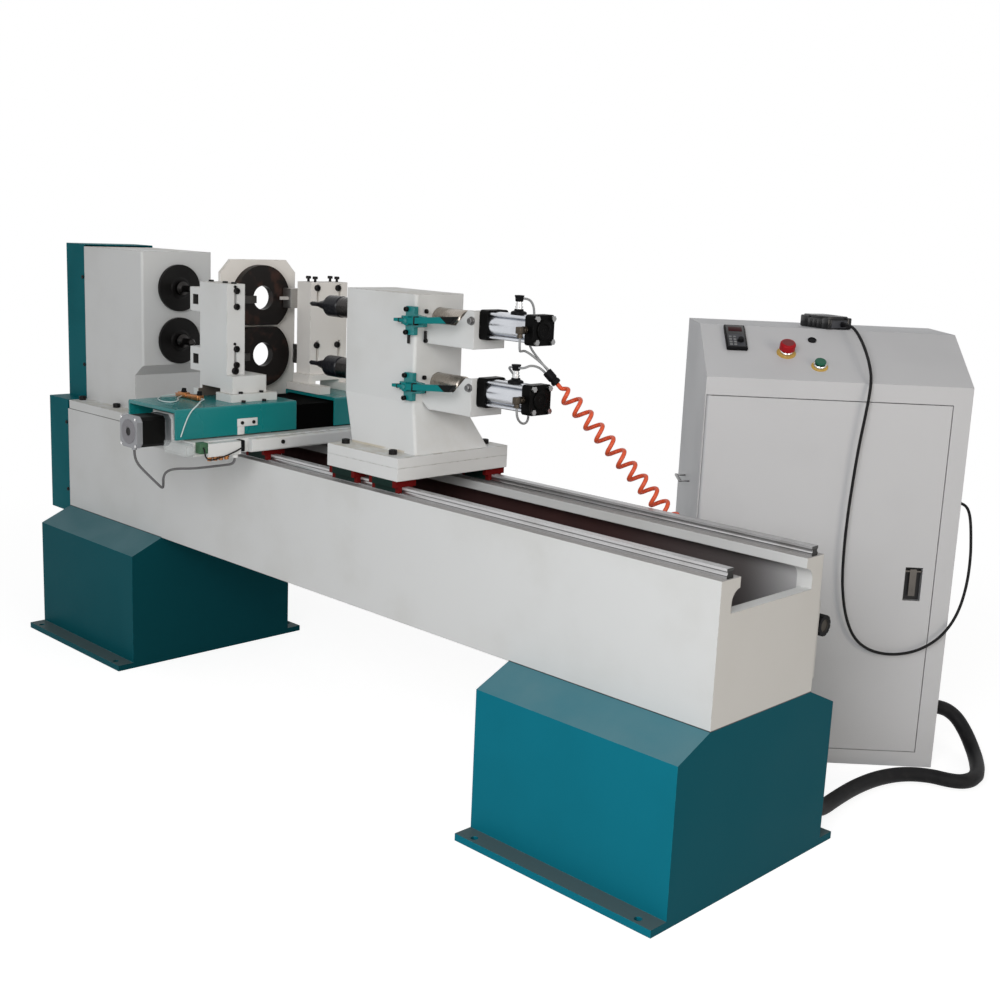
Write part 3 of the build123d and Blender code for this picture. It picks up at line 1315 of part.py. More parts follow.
with BuildPart() as cylinder_barrels:
    for axis_height in AXES:
        rod((BARREL_X, REAR_CAP_X), axis_height, BARREL_RADIUS)
        rod((BARREL_X, REAR_CAP_X), axis_height, BARREL_BORE, mode=Mode.SUBTRACT)
        with BuildSketch(Plane.YZ.offset(CYLINDER_X)):
            with Locations((0, axis_height)):
                with GridLocations(TIE_SPACING, TIE_SPACING, 2, 2):
                    Circle(TIE_RADIUS)
        rear_face = REAR_CAP_X + CAP_THICK
        extrude(amount=rear_face - CYLINDER_X)
        with BuildSketch(Plane.YZ.offset(rear_face)):
            with Locations((0, axis_height)):
                with GridLocations(TIE_SPACING, TIE_SPACING, 2, 2):
                    RegularPolygon(NUT_RADIUS, 6)
        extrude(amount=NUT_THICK)
keep(cylinder_barrels, "cylinder_barrels")

# Air fittings: a stem and elbow on each barrel, a side elbow on each rear cap, and the coupler
FITTING_X = BARREL_X + BARREL_LENGTH * 0.55
HOSE_AXIS = (Vector(HOSE_END) - Vector(HOSE_START)).normalized()
COUPLER_START = Vector(HOSE_START) - HOSE_AXIS * COUPLER_LENGTH
CAP_FRONT = -CAP_SIZE / 2
SIDE_X = REAR_CAP_X - SIDE_BODY / 2 + CAP_THICK / 2
SIDE_Y = CAP_FRONT - SIDE_STUB_LENGTH
with BuildPart() as air_fittings:
    for axis_height in AXES:
        barrel_top = axis_height + BARREL_RADIUS
        foot = (FITTING_X - FITTING_SIZE / 2, FITTING_X + FITTING_SIZE / 2)
        span(foot, (-FITTING_SIZE / 2, FITTING_SIZE / 2), (barrel_top - 4, barrel_top + FITTING_FOOT))
        stem_top = barrel_top + FITTING_FOOT + STEM_HEIGHT
        bar((FITTING_X, 0, barrel_top + FITTING_FOOT), (FITTING_X, 0, stem_top), STEM_RADIUS)
        bar((FITTING_X, 0, stem_top), (FITTING_X, 0, stem_top + ELBOW_HEIGHT), ELBOW_RADIUS)
        rod(
            (foot[0], foot[1]),
            axis_height,
            BARREL_RADIUS + SEAT_GAP,
            mode=Mode.SUBTRACT,
        )
        bar((SIDE_X, CAP_FRONT, axis_height), (SIDE_X, SIDE_Y, axis_height), SIDE_STUB)
        span(
            (SIDE_X - SIDE_BODY / 2, SIDE_X + SIDE_BODY / 2),
            (SIDE_Y - SIDE_BODY, SIDE_Y),
            (axis_height - SIDE_BODY, axis_height + SIDE_BODY / 2),
        )
    bar(COUPLER_START, HOSE_START, COUPLER_RADIUS)
keep(air_fittings, "air_fittings")

# Grey air tubes from the fittings to the coupler
COUPLER_FACE = Plane(origin=COUPLER_START, z_dir=HOSE_AXIS)


def coupler_port(across, up):
    """A tube's end on the coupler's face, and a point straight in front of it."""
    place = COUPLER_FACE.from_local_coords((across * COUPLER_PORT, up * COUPLER_PORT, 0))
    lead = COUPLER_FACE.from_local_coords((across * COUPLER_PORT, up * COUPLER_PORT, -COUPLER_LEAD))
    return [lead, place]


ELBOW_LIFT = BARREL_RADIUS + FITTING_FOOT + STEM_HEIGHT + ELBOW_HEIGHT / 2
SIDE_OUT = SIDE_Y - SIDE_BODY / 2
LOW, HIGH = LOWER_AXIS, UPPER_AXIS
TUBE_ROUTES = {
    "upper stem tube": [
        (FITTING_X, ELBOW_RADIUS, HIGH + ELBOW_LIFT),
        (FITTING_X, 32, HIGH + ELBOW_LIFT),
        (FITTING_X - 1, 52, HIGH + ELBOW_LIFT - 14),
        (FITTING_X - 3, 60, HIGH + ELBOW_LIFT - 40),
        (FITTING_X - 5, 60, HIGH + 5),
        (FITTING_X - 3, 52, HIGH - 28),
        (FITTING_X + 6, 34, HIGH - 46),
        *coupler_port(0, 1),
    ],
    "upper side tube": [
        (SIDE_X, SIDE_OUT, HIGH - SIDE_BODY),
        (SIDE_X, SIDE_OUT, HIGH - 36),
        (SIDE_X - 10, SIDE_OUT + 12, HIGH - 52),
        (SIDE_X - 24, SIDE_OUT + 32, HIGH - 54),
        (SIDE_X - 29, SIDE_OUT + 54, HIGH - 53),
        *coupler_port(-1, 0),
    ],
    "lower stem tube": [
        (FITTING_X + ELBOW_RADIUS, 0, LOW + ELBOW_LIFT),
        (FITTING_X + 25, 0, LOW + ELBOW_LIFT),
        (FITTING_X + 40, 10, LOW + ELBOW_LIFT + 10),
        *coupler_port(1, 0),
    ],
    "lower side tube": [
        (FITTING_X - ELBOW_RADIUS, 0, LOW + ELBOW_LIFT),
        (FITTING_X - 26, 0, LOW + ELBOW_LIFT),
        (FITTING_X - 38, 18, LOW + 60),
        (FITTING_X - 34, 45, LOW + 34),
        (FITTING_X - 22, 56, LOW + 2),
        (FITTING_X - 4, 53, LOW - 32),
        (FITTING_X + 17, 35, LOW - 55),
        (FITTING_X + 38, 5, LOW - 64),
        (SIDE_X - 12, SIDE_OUT + 31, LOW - 61),
        (SIDE_X, SIDE_OUT, LOW - 40),
        (SIDE_X, SIDE_OUT, LOW - SIDE_BODY),
    ],
}
with BuildPart() as air_tubes:
    for tube_name, points in TUBE_ROUTES.items():
        cord(cord_route(tube_name, points), points, AIR_TUBE)
keep(air_tubes, "air_tubes")

# Quill clamps and their levers on the column's front
CLAMP_X = COLUMN_RIGHT - CLAMP_INSET
CLAMP_FACE = COLUMN_FRONT - CLAMP_THICK
with BuildPart() as quill_clamps:
    for axis_height in AXES:
        clamp_z = axis_height - CLAMP_DROP
        boss = [
            (CLAMP_X, clamp_z - CLAMP_BOSS / 2),
            (CLAMP_X + CLAMP_RIGHT, clamp_z - CLAMP_BOSS_END / 2),
            (CLAMP_X + CLAMP_RIGHT, clamp_z + CLAMP_BOSS_END / 2),
            (CLAMP_X, clamp_z + CLAMP_BOSS / 2),
        ]
        with BuildSketch(Plane.XZ.offset(-COLUMN_FRONT)) as cross:
            with Locations((CLAMP_X, clamp_z)):
                Rectangle(CLAMP_BAR, CLAMP_HEIGHT)
                Rectangle(CLAMP_LEFT, CLAMP_ARM, align=(Align.MAX, Align.CENTER))
            with BuildLine():
                Polyline(*boss, close=True)
            make_face()
            fillet(cross.vertices(), radius=CLAMP_ROUND)
        extrude(cross.sketch, amount=CLAMP_THICK)
        pin_end = CLAMP_FACE - LEVER_THICK - 2
        bar((CLAMP_X, CLAMP_FACE + 1, clamp_z), (CLAMP_X, pin_end, clamp_z), PIVOT_RADIUS)
keep(quill_clamps, "quill_clamps")

# Levers: a hub with a short stub on one side and a handle with a slanted end on the other
for name, axis_height in zip(NAMES, AXES):
    with BuildPart() as lever:
        clamp_z = axis_height - CLAMP_DROP
        lever_back = CLAMP_FACE - RUNNING_GAP
        tip_x, tip_z = CLAMP_X + LEVER_LENGTH, clamp_z + LEVER_RISE
        handle = [
            (CLAMP_X, clamp_z - LEVER_ROOT / 2),
            (tip_x - LEVER_SLANT, tip_z - LEVER_END / 2),
            (tip_x, tip_z + LEVER_END / 2),
            (CLAMP_X, clamp_z + LEVER_ROOT / 2),
        ]
        with BuildSketch(Plane.XZ.offset(-lever_back)) as arm:
            with BuildLine():
                Polyline(*handle, close=True)
            make_face()
            with Locations((CLAMP_X, clamp_z)):
                Circle(LEVER_HUB)
                Rectangle(STUB_LENGTH, STUB_HEIGHT, align=(Align.MAX, Align.CENTER))
                Circle(PIVOT_RADIUS + RUNNING_GAP, mode=Mode.SUBTRACT)
        extrude(arm.sketch, amount=LEVER_THICK)
    keep(lever, f"{name}_clamp_lever")

# Spiral air hose between the coupler and its socket on the bed's back
NIPPLE_END = Vector(HOSE_END)
HELIX_START = Vector(HOSE_START) + HOSE_AXIS * HOSE_DIAMETER
HELIX_END = NIPPLE_END - HOSE_AXIS * HOSE_DIAMETER
HELIX_LENGTH = (HELIX_END - HELIX_START).length
HELIX_FRAME = Plane(origin=HELIX_START, z_dir=HOSE_AXIS)


def helix_point(turns):
    """A point of the hose, whose coil opens at one end and closes at the other."""
    end_distance = min(turns, HOSE_TURNS - turns)
    opening = min(end_distance / HOSE_RAMP_TURNS, 1)
    radius = HOSE_COIL_RADIUS * (1 - cos(pi * opening)) / 2
    angle = 2 * pi * turns
    return HELIX_FRAME.from_local_coords(
        (radius * cos(angle), radius * sin(angle), HELIX_LENGTH * turns / HOSE_TURNS)
    )


def helix_direction(turns):
    """The hose's direction at a point, along its axis at both ends."""
    step = 0.001
    if turns < step or turns > HOSE_TURNS - step:
        return HOSE_AXIS
    return (helix_point(turns + step) - helix_point(turns - step)).normalized()


def biarc(start, start_direction, end, end_direction):
    """Two tangent arcs between two points, with the direction given at each."""
    chord = end - start
    total = start_direction + end_direction
    square = 2 * (start_direction.dot(end_direction) - 1)
    linear = -2 * chord.dot(total)
    constant = chord.dot(chord)
    reach = (-linear - sqrt(linear**2 - 4 * square * constant)) / (2 * square)
    first, second = start + start_direction * reach, end - end_direction * reach
    middle = (first + second) * 0.5
    TangentArc(start, middle, tangent=start_direction)
    TangentArc(middle, end, tangent=second - first)


with BuildPart() as spiral_hose:
    half_turns = [turn_index / 2 for turn_index in range(2 * HOSE_TURNS + 1)]
    with BuildLine() as hose_route:
        Line(HOSE_START, HELIX_START)
        for start, end in zip(half_turns, half_turns[1:]):
            biarc(helix_point(start), helix_direction(start), helix_point(end), helix_direction(end))
        Line(HELIX_END, NIPPLE_END)
    with BuildSketch(Plane(origin=HOSE_START, z_dir=HOSE_AXIS)) as hose_section:
        Circle(HOSE_DIAMETER / 2)
    sweep(hose_section.sketch, path=hose_route.wire())
keep(spiral_hose, "spiral_hose")

SAMPLES_PER_TURN = 36
hose_points = [helix_point(i / SAMPLES_PER_TURN) for i in range(HOSE_TURNS * SAMPLES_PER_TURN + 1)]
hose_gap = min(
    (hose_points[i] - hose_points[j]).length - HOSE_DIAMETER
    for i in range(len(hose_points))
    for j in range(i + SAMPLES_PER_TURN * 2 // 3, len(hose_points))
)
hose_volume = hose_route.wire().length * pi * HOSE_DIAMETER**2 / 4
print("spiral hose length", round(hose_route.wire().length), "least gap to itself", round(hose_gap, 1))
print("spiral hose volume ratio", round(spiral_hose.part.volume / hose_volume, 4))

# Air regulator and the hose's socket on the bed's back
with BuildPart() as air_regulator:
    plate_x = (BED_END - REGULATOR_PLATE_WIDTH, BED_END)
    plate_y = (BED_BACK, BED_BACK + REGULATOR_PLATE)
    plate_bottom = REGULATOR_HEIGHT - REGULATOR_PLATE_HEIGHT * 0.65
    span(plate_x, plate_y, (plate_bottom, plate_bottom + REGULATOR_PLATE_HEIGHT))
    regulator_y = plate_y[1] + REGULATOR_ARM + REGULATOR_SIZE / 2
    half = REGULATOR_SIZE / 2
    body_z = (REGULATOR_HEIGHT - half, REGULATOR_HEIGHT + half)
    span((REGULATOR_X - half, REGULATOR_X + half), (regulator_y - half, regulator_y + half), body_z)
    span((REGULATOR_X - half / 2, REGULATOR_X + half / 2), (plate_y[1], regulator_y), body_z)
    bowl_profile = [
        (REGULATOR_X, body_z[0] - BOWL_HEIGHT),
        (REGULATOR_X + BOWL_RADIUS * 0.6, body_z[0] - BOWL_HEIGHT),
        (REGULATOR_X + BOWL_RADIUS, body_z[0] - BOWL_HEIGHT * 0.75),
        (REGULATOR_X + BOWL_RADIUS, body_z[0]),
        (REGULATOR_X, body_z[0]),
    ]
    bowl_plane = Plane.XZ.offset(-regulator_y)
    revolve(
        outline(bowl_plane, bowl_profile),
        axis=Axis((REGULATOR_X, regulator_y, 0), (0, 0, 1)),
    )
    body_face = REGULATOR_X + half
    stem_end = body_face + KNOB_STEM_HEIGHT
    knob_center = (regulator_y, REGULATOR_HEIGHT)
    bar((body_face, *knob_center), (stem_end, *knob_center), KNOB_STEM)
    nipple_base = NIPPLE_END + HOSE_AXIS * NIPPLE_LENGTH
    bar((nipple_base.X, BED_BACK, nipple_base.Z), nipple_base + (0, SOCKET_RADIUS, 0), SOCKET_RADIUS)
    bar(nipple_base, NIPPLE_END, NIPPLE_RADIUS)
keep(air_regulator, "air_regulator")

with BuildPart() as regulator_knob:
    knob_base = body_face + RUNNING_GAP
    knob_face = knob_base + KNOB_HEIGHT
    with BuildSketch(Plane.YZ.offset(knob_base)) as knob_plan:
        with Locations(knob_center):
            Circle(KNOB_RADIUS)
            with PolarLocations(KNOB_RADIUS, KNOB_FLUTES):
                Circle(KNOB_FLUTE, mode=Mode.SUBTRACT)
    extrude(knob_plan.sketch, amount=KNOB_HEIGHT)
    bar(
        (knob_base, *knob_center),
        (stem_end + RUNNING_GAP, *knob_center),
        KNOB_STEM + RUNNING_GAP,
        mode=Mode.SUBTRACT,
    )
    bar((knob_face - KNOB_DISH, *knob_center), (knob_face, *knob_center), KNOB_DISH_RADIUS, mode=Mode.SUBTRACT)
keep(regulator_knob, "regulator_knob")

# Control cabinet: a sheet box with a sloping desk and a front opening for the door
DOOR_RADIUS = DOOR_THICK / 2
HINGE_X = CABINET_SHEET + DOOR_LEFT_GAP + DOOR_RADIUS
HINGE_Y = DOOR_RADIUS
OPENING_BOTTOM, OPENING_TOP = DOOR_BOTTOM - DOOR_GAP, DOOR_TOP + DOOR_GAP
CONDUIT_EXIT = (CABINET_WIDTH + GLAND_LENGTH, 152.0, 126.0)
PENDANT_END = (CABINET_WIDTH + CABLE_GLAND_LENGTH, 63.0, 738.0)
PENDANT_LEAD = (CABINET_WIDTH + CABLE_GLAND_LENGTH + PENDANT_CABLE, 63.0, 738.0)
with BuildPart(CABINET) as cabinet:
    shell = [
        (0, 0),
        (CABINET_DEPTH, 0),
        (CABINET_DEPTH, CABINET_TOP),
        (PANEL_DEPTH, CABINET_TOP),
        (0, CABINET_FRONT),
    ]
    extrude(outline(CABINET_SIDE, shell), amount=CABINET_WIDTH)
    sheet = CABINET_SHEET
    lift = sheet * (PANEL_SLOPE / PANEL_DEPTH)
    slope = (CABINET_TOP - CABINET_FRONT) / PANEL_DEPTH
    hollow = [
        (sheet, sheet),
        (CABINET_DEPTH - sheet, sheet),
        (CABINET_DEPTH - sheet, CABINET_TOP - sheet),
        (PANEL_DEPTH + (lift - sheet) / slope, CABINET_TOP - sheet),
        (sheet, CABINET_FRONT - lift + sheet * slope),
    ]
    hollow_face = outline(CABINET_SIDE.offset(sheet), hollow)
    extrude(hollow_face, amount=CABINET_WIDTH - 2 * sheet, mode=Mode.SUBTRACT)
    span((sheet, DOOR_RIGHT + DOOR_GAP), (0, sheet), (OPENING_BOTTOM, OPENING_TOP), mode=Mode.SUBTRACT)
    shelf_x = (sheet, DOOR_RIGHT + DOOR_GAP)
    span(shelf_x, (0, DOOR_SHELF), (OPENING_BOTTOM - sheet, OPENING_BOTTOM))
    span(shelf_x, (0, DOOR_SHELF), (OPENING_TOP, OPENING_TOP + sheet))
    with Locations((HINGE_X, HINGE_Y, OPENING_BOTTOM), (HINGE_X, HINGE_Y, OPENING_TOP - PIVOT_PIN_LENGTH)):
        Cylinder(PIVOT_PIN, PIVOT_PIN_LENGTH, align=(Align.CENTER, Align.CENTER, Align.MIN))
    for (gland_x, gland_y, gland_z), radius in (
        (CONDUIT_EXIT, GLAND_RADIUS),
        (PENDANT_END, CABLE_GLAND_RADIUS),
    ):
        bar(
            CABINET.from_local_coords((CABINET_WIDTH - 1, gland_y, gland_z)),
            CABINET.from_local_coords((gland_x, gland_y, gland_z)),
            radius,
        )
keep(cabinet, "cabinet")

# Cabinet door: a pan with a round hinge edge and a recessed latch cup
with BuildPart(CABINET) as door:
    door_right = DOOR_RIGHT
    with BuildSketch(CABINET.offset(DOOR_BOTTOM)) as door_plan:
        with Locations((HINGE_X, HINGE_Y)):
            Circle(DOOR_RADIUS)
        with Locations(((HINGE_X + door_right) / 2, DOOR_THICK / 2)):
            Rectangle(door_right - HINGE_X, DOOR_THICK)
    extrude(door_plan.sketch, amount=DOOR_TOP - DOOR_BOTTOM)
    span(
        (HINGE_X + DOOR_RIM, door_right - DOOR_RIM),
        (DOOR_SKIN, DOOR_THICK),
        (DOOR_BOTTOM + DOOR_RIM, DOOR_TOP - DOOR_RIM),
        mode=Mode.SUBTRACT,
    )
    pin_room = PIVOT_PIN_LENGTH - DOOR_GAP + 2
    with Locations((HINGE_X, HINGE_Y, DOOR_BOTTOM), (HINGE_X, HINGE_Y, DOOR_TOP - pin_room)):
        Cylinder(
            PIVOT_PIN + RUNNING_GAP,
            pin_room,
            align=(Align.CENTER, Align.CENTER, Align.MIN),
            mode=Mode.SUBTRACT,
        )
    cup = (LATCH_WIDTH / 2, LATCH_HEIGHT / 2)
    span(
        (LATCH_X - cup[0] - LATCH_WALL, LATCH_X + cup[0] + LATCH_WALL),
        (0, DOOR_THICK),
        (LATCH_Z - cup[1] - LATCH_WALL, LATCH_Z + cup[1] + LATCH_WALL),
    )
    span(
        (LATCH_X - cup[0], LATCH_X + cup[0]),
        (0, LATCH_DEPTH),
        (LATCH_Z - cup[1], LATCH_Z + cup[1]),
        mode=Mode.SUBTRACT,
    )
    latch_pin_y = LATCH_DEPTH / 2
    latch_pin_z = LATCH_Z + cup[1] - 2 * LATCH_LEVER
    pin_reach = cup[0] + LATCH_PIN_SEAT
    bar(
        CABINET.from_local_coords((LATCH_X - pin_reach, latch_pin_y, latch_pin_z)),
        CABINET.from_local_coords((LATCH_X + pin_reach, latch_pin_y, latch_pin_z)),
        LATCH_PIN + RUNNING_GAP,
        mode=Mode.SUBTRACT,
    )
keep(door, "door")

with BuildPart(CABINET) as door_latch:
    lever_y = (latch_pin_y - LATCH_LEVER / 2, latch_pin_y + LATCH_LEVER / 2)
    lever_bottom = LATCH_Z - cup[1] + 2 * LATCH_LEVER
    span(
        (LATCH_X - LEVER_WIDTH / 2, LATCH_X + LEVER_WIDTH / 2),
        lever_y,
        (lever_bottom, latch_pin_z + LATCH_LEVER),
    )
    pin_half = pin_reach - RUNNING_GAP
    bar(
        CABINET.from_local_coords((LATCH_X - pin_half, latch_pin_y, latch_pin_z)),
        CABINET.from_local_coords((LATCH_X + pin_half, latch_pin_y, latch_pin_z)),
        LATCH_PIN,
    )
keep(door_latch, "door_latch")

# Electrics on a back panel inside the cabinet
with BuildPart(CABINET) as electrics:
    panel_back = CABINET_DEPTH - CABINET_SHEET
    panel_face = panel_back - BACK_PANEL[2]
    panel_left = (CABINET_WIDTH - BACK_PANEL[0]) / 2
    panel_top = BACK_PANEL_BASE + BACK_PANEL[1]
    span((panel_left, panel_left + BACK_PANEL[0]), (panel_face, panel_back), (BACK_PANEL_BASE, panel_top))
    item_left = panel_left + ELECTRICS_INSET
    item_top = panel_top - ELECTRICS_INSET
    span(
        (item_left, item_left + INVERTER[0]),
        (panel_face - INVERTER[1], panel_face),
        (item_top - INVERTER[2], item_top),
    )
    for driver in range(DRIVER_COUNT):
        driver_left = item_left + INVERTER[0] + ELECTRICS_STEP + driver * (DRIVER[0] + ELECTRICS_STEP / 2)
        span(
            (driver_left, driver_left + DRIVER[0]),
            (panel_face - DRIVER[1], panel_face),
            (item_top - DRIVER[2], item_top),
        )
    terminal_z = item_top - INVERTER[2] - 2 * ELECTRICS_STEP
    span(
        (item_left, item_left + TERMINALS[0]),
        (panel_face - TERMINALS[1], panel_face),
        (terminal_z, terminal_z + TERMINALS[2]),
    )
    span(
        (item_left, item_left + TRANSFORMER[0]),
        (panel_face - TRANSFORMER[1], panel_face),
        (BACK_PANEL_BASE + ELECTRICS_INSET, BACK_PANEL_BASE + ELECTRICS_INSET + TRANSFORMER[2]),
    )
keep(electrics, "electrics")

# Panel controls: keypad, plug, ring plates with collars, and the two buttons
with BuildPart(PANEL) as panel_fittings:
    with BuildSketch(PANEL) as keypad_plan:
        with Locations(KEYPAD_PLACE):
            RectangleRounded(*KEYPAD, 4)
    extrude(keypad_plan.sketch, amount=KEYPAD_THICK)
    with BuildSketch(PANEL) as plug_plan:
        with Locations(PLUG_PLACE):
            Circle(PLUG_RADIUS)
    extrude(plug_plan.sketch, amount=PLUG_HEIGHT)
    for button_place in (STOP_PLACE, START_PLACE):
        for radius, height in ((RING_PLATE_RADIUS, RING_PLATE_THICK), (COLLAR_RADIUS, COLLAR_HEIGHT)):
            with BuildSketch(PANEL) as ring_plan:
                with Locations(button_place):
                    Circle(radius)
                    Circle(PLUNGER_RADIUS + RUNNING_GAP, mode=Mode.SUBTRACT)
            extrude(ring_plan.sketch, amount=height)
keep(panel_fittings, "panel_fittings")

BUTTONS = {
    "stop_button": (STOP_PLACE, STOP_RADIUS, STOP_HEIGHT, STOP_TRAVEL),
    "start_button": (START_PLACE, START_RADIUS, COLLAR_HEIGHT / 2, START_TRAVEL),
}
for button_name, (place, radius, height, travel) in BUTTONS.items():
    with BuildPart(PANEL) as button:
        cap_base = COLLAR_HEIGHT + travel + RUNNING_GAP
        with Locations((*place, cap_base)):
            Cylinder(radius, height, align=(Align.CENTER, Align.CENTER, Align.MIN))
        fillet(button.edges().sort_by(Axis(PANEL.origin, PANEL.z_dir))[-1], min(height * 0.45, 6))
        with Locations((*place, travel + RUNNING_GAP)):
            Cylinder(PLUNGER_RADIUS, COLLAR_HEIGHT, align=(Align.CENTER, Align.CENTER, Align.MIN))
    keep(button, button_name)

# Hand pendant on the cabinet's top, with its cable exit at the near end
PENDANT_FRAME = Plane(
    origin=CABINET.from_local_coords((*PENDANT_PLACE, CABINET_TOP)),
    x_dir=Vector(CABINET.x_dir).rotate(Axis.Z, PENDANT_TURN),
    z_dir=(0, 0, 1),
)
with BuildPart(PENDANT_FRAME) as pendant:
    width, length, height = PENDANT_SIZE
    with BuildSketch(PENDANT_FRAME) as pendant_plan:
        with Locations((0, length / 2)):
            RectangleRounded(width, length, PENDANT_ROUND)
    extrude(pendant_plan.sketch, amount=height)
    chamfer(pendant.faces().sort_by(Axis.Z)[-1].edges(), height * 0.12)
    exit_start = PENDANT_FRAME.from_local_coords((width * 0.2, PENDANT_ROUND, height * 0.4))
    exit_lead = PENDANT_FRAME.from_local_coords((width * 0.2, -PENDANT_EXIT, height * 0.4))
    exit_ahead = PENDANT_FRAME.from_local_coords((width * 0.2, -PENDANT_EXIT * 2.5, height * 0.4))
    bar(exit_start, exit_lead, PENDANT_CABLE)
keep(pendant, "pendant")

# Pendant cable: over the desk, down the front in a loop and into the cabinet's right side
PENDANT_ROUTE = [
    (422, 126, 1168),
    (428, 78, 1136),
    (429, 32, 1106),
    (428, -4, 1076),
    (424, -20, 1036),
    (417, -23, 972),
    (408, -22, 890),
    (402, -21, 800),
    (397, -20, 700),
    (396, -21, 600),
    (401, -20, 510),
    (417, -21, 430),
    (447, -20, 366),
    (495, -21, 334),
    (558, -20, 326),
    (624, -21, 342),
    (682, -20, 384),
    (722, -8, 444),
    (744, 10, 520),
    (752, 28, 596),
    (751, 43, 656),
    (748, 54, 700),
    (740, 61, 727),
]
with BuildPart() as pendant_cable:
    points = [exit_lead, exit_ahead]
    points += [CABINET.from_local_coords(point) for point in PENDANT_ROUTE + [PENDANT_LEAD, PENDANT_END]]
    cord(cord_route("pendant cable", points), points, PENDANT_CABLE)
keep(pendant_cable, "pendant_cable")

# Conduit on the floor, from the cabinet's side to a gland on the right foot's back
FOOT_BACK = FOOT_WIDTH / 2
FOOT_GLAND = (BED_END - CABLE_HOLE_INSET, FOOT_BACK + GLAND_LENGTH, CABLE_HOLE_HEIGHT)
CONDUIT_REST = CONDUIT / 2 + 0.5
CONDUIT_FALL = [
    (762, 152, 126),
    (802, 143, 104),
    (825, 114, 68),
    (833, 70, 38),
    (829, 16, CONDUIT_REST + 1),
]
CONDUIT_FLOOR = [
    (1426, 983),
    (1438, 932),
    (1428, 890),
    (1397, 870),
    (1347, 860),
    (1296, 818),
    (1264, 742),
    (1253, 640),
    (1258, 532),
    (1267, 444),
]
CONDUIT_RISE = [(1270, 404, 36), (1269, 374, 68), (FOOT_GLAND[0], FOOT_GLAND[1] + 26, FOOT_GLAND[2])]
with BuildPart() as conduit:
    points = [CABINET.from_local_coords(point) for point in [CONDUIT_EXIT] + CONDUIT_FALL]
    points += [Vector(x, y, CONDUIT_REST) for x, y in CONDUIT_FLOOR]
    points += [Vector(point) for point in CONDUIT_RISE + [FOOT_GLAND]]
    cord(cord_route("conduit", points), points, CONDUIT)
keep(conduit, "conduit")

# Motor cable: hangs below the cross motor, folds and returns under the saddle
GLAND_TIP = Vector(cable_gland) - (0, 0, 10)
MOTOR_ROUTE = [
    (-341, -526, 746),
    (-331, -508, 722),
    (-318, -484, 694),
    (-312, -468, 676),
    (-322, -458, 680),
    (-340, -448, 700),
    (-342, -436, 716),
    (-326, -416, 724),
    (-290, -384, 726),
    (-250, -345, 735),
    (-222, -326, 741),
    (-204, -313, 746),
]
with BuildPart() as motor_cable:
    points = [Vector(MOTOR_EXIT) - (0, 0, 5), Vector(MOTOR_EXIT) - (0, 0, 22)]
    points += [Vector(point) for point in MOTOR_ROUTE]
    points += [GLAND_TIP - (0, 0, MOTOR_CABLE), GLAND_TIP]
    cord(cord_route("motor cable", points), points, MOTOR_CABLE)
keep(motor_cable, "motor_cable")
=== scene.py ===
# Twin-spindle wood lathe: camera, cords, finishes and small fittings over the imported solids.
# Sizes are in metres, and cord routes and turned profiles in millimetres.
from math import cos, pi, radians, sin

import bpy
from mathutils import Matrix, Vector


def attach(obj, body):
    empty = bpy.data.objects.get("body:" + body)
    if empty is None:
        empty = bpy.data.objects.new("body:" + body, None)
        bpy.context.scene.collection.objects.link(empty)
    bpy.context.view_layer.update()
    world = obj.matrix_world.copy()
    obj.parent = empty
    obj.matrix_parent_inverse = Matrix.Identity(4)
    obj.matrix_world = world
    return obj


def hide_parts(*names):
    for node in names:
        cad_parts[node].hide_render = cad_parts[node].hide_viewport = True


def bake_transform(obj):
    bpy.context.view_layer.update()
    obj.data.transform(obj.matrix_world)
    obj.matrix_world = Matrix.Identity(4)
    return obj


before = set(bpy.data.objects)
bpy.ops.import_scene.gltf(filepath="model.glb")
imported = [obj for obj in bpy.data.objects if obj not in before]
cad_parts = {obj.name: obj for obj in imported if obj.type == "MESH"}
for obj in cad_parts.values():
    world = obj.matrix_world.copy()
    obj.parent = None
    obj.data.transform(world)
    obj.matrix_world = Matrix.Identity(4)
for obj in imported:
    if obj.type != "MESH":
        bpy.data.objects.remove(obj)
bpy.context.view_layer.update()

# Directions, and the heights of the spindle axes and clamp levers
UP, DOWN = Vector((0.0, 0.0, 1.0)), Vector((0.0, 0.0, -1.0))
FRONT, BACK = Vector((0.0, -1.0, 0.0)), Vector((0.0, 1.0, 0.0))
RIGHT = Vector((1.0, 0.0, 0.0))
ORIGIN = Vector((0.0, 0.0, 0.0))
LOW, HIGH = 1.007, 1.177
AXES = {"lower": LOW, "upper": HIGH}
LEVERS = {"lower": 1.003, "upper": 1.173}


def columns(across, along, up, origin):
    """A frame with these three directions at this point."""
    place = Matrix((across, along, up)).transposed().to_4x4()
    place.translation = Vector(origin)
    return place


# Frames of the turned cabinet, its sloping desk and the hand pendant on top
CABINET_U = Vector((0.72477, 0.68899, 0.0))
CABINET_V = Vector((-0.68899, 0.72477, 0.0))
CABINET_CORNER = Vector((0.7935, 0.4803, 0.0))
CABINET = columns(CABINET_U, CABINET_V, UP, CABINET_CORNER)
DESK_RUN, DESK_RISE, DESK_EDGE = 0.8582, 0.5132, 1.058
DESK = columns(
    CABINET_U,
    CABINET_V * DESK_RUN + UP * DESK_RISE,
    UP * DESK_RUN - CABINET_V * DESK_RISE,
    CABINET @ Vector((0.0, 0.0, DESK_EDGE)),
)
PENDANT = CABINET @ Matrix.Translation((0.377, 0.208, 1.18)) @ Matrix.Rotation(radians(23.5), 4, "Z")

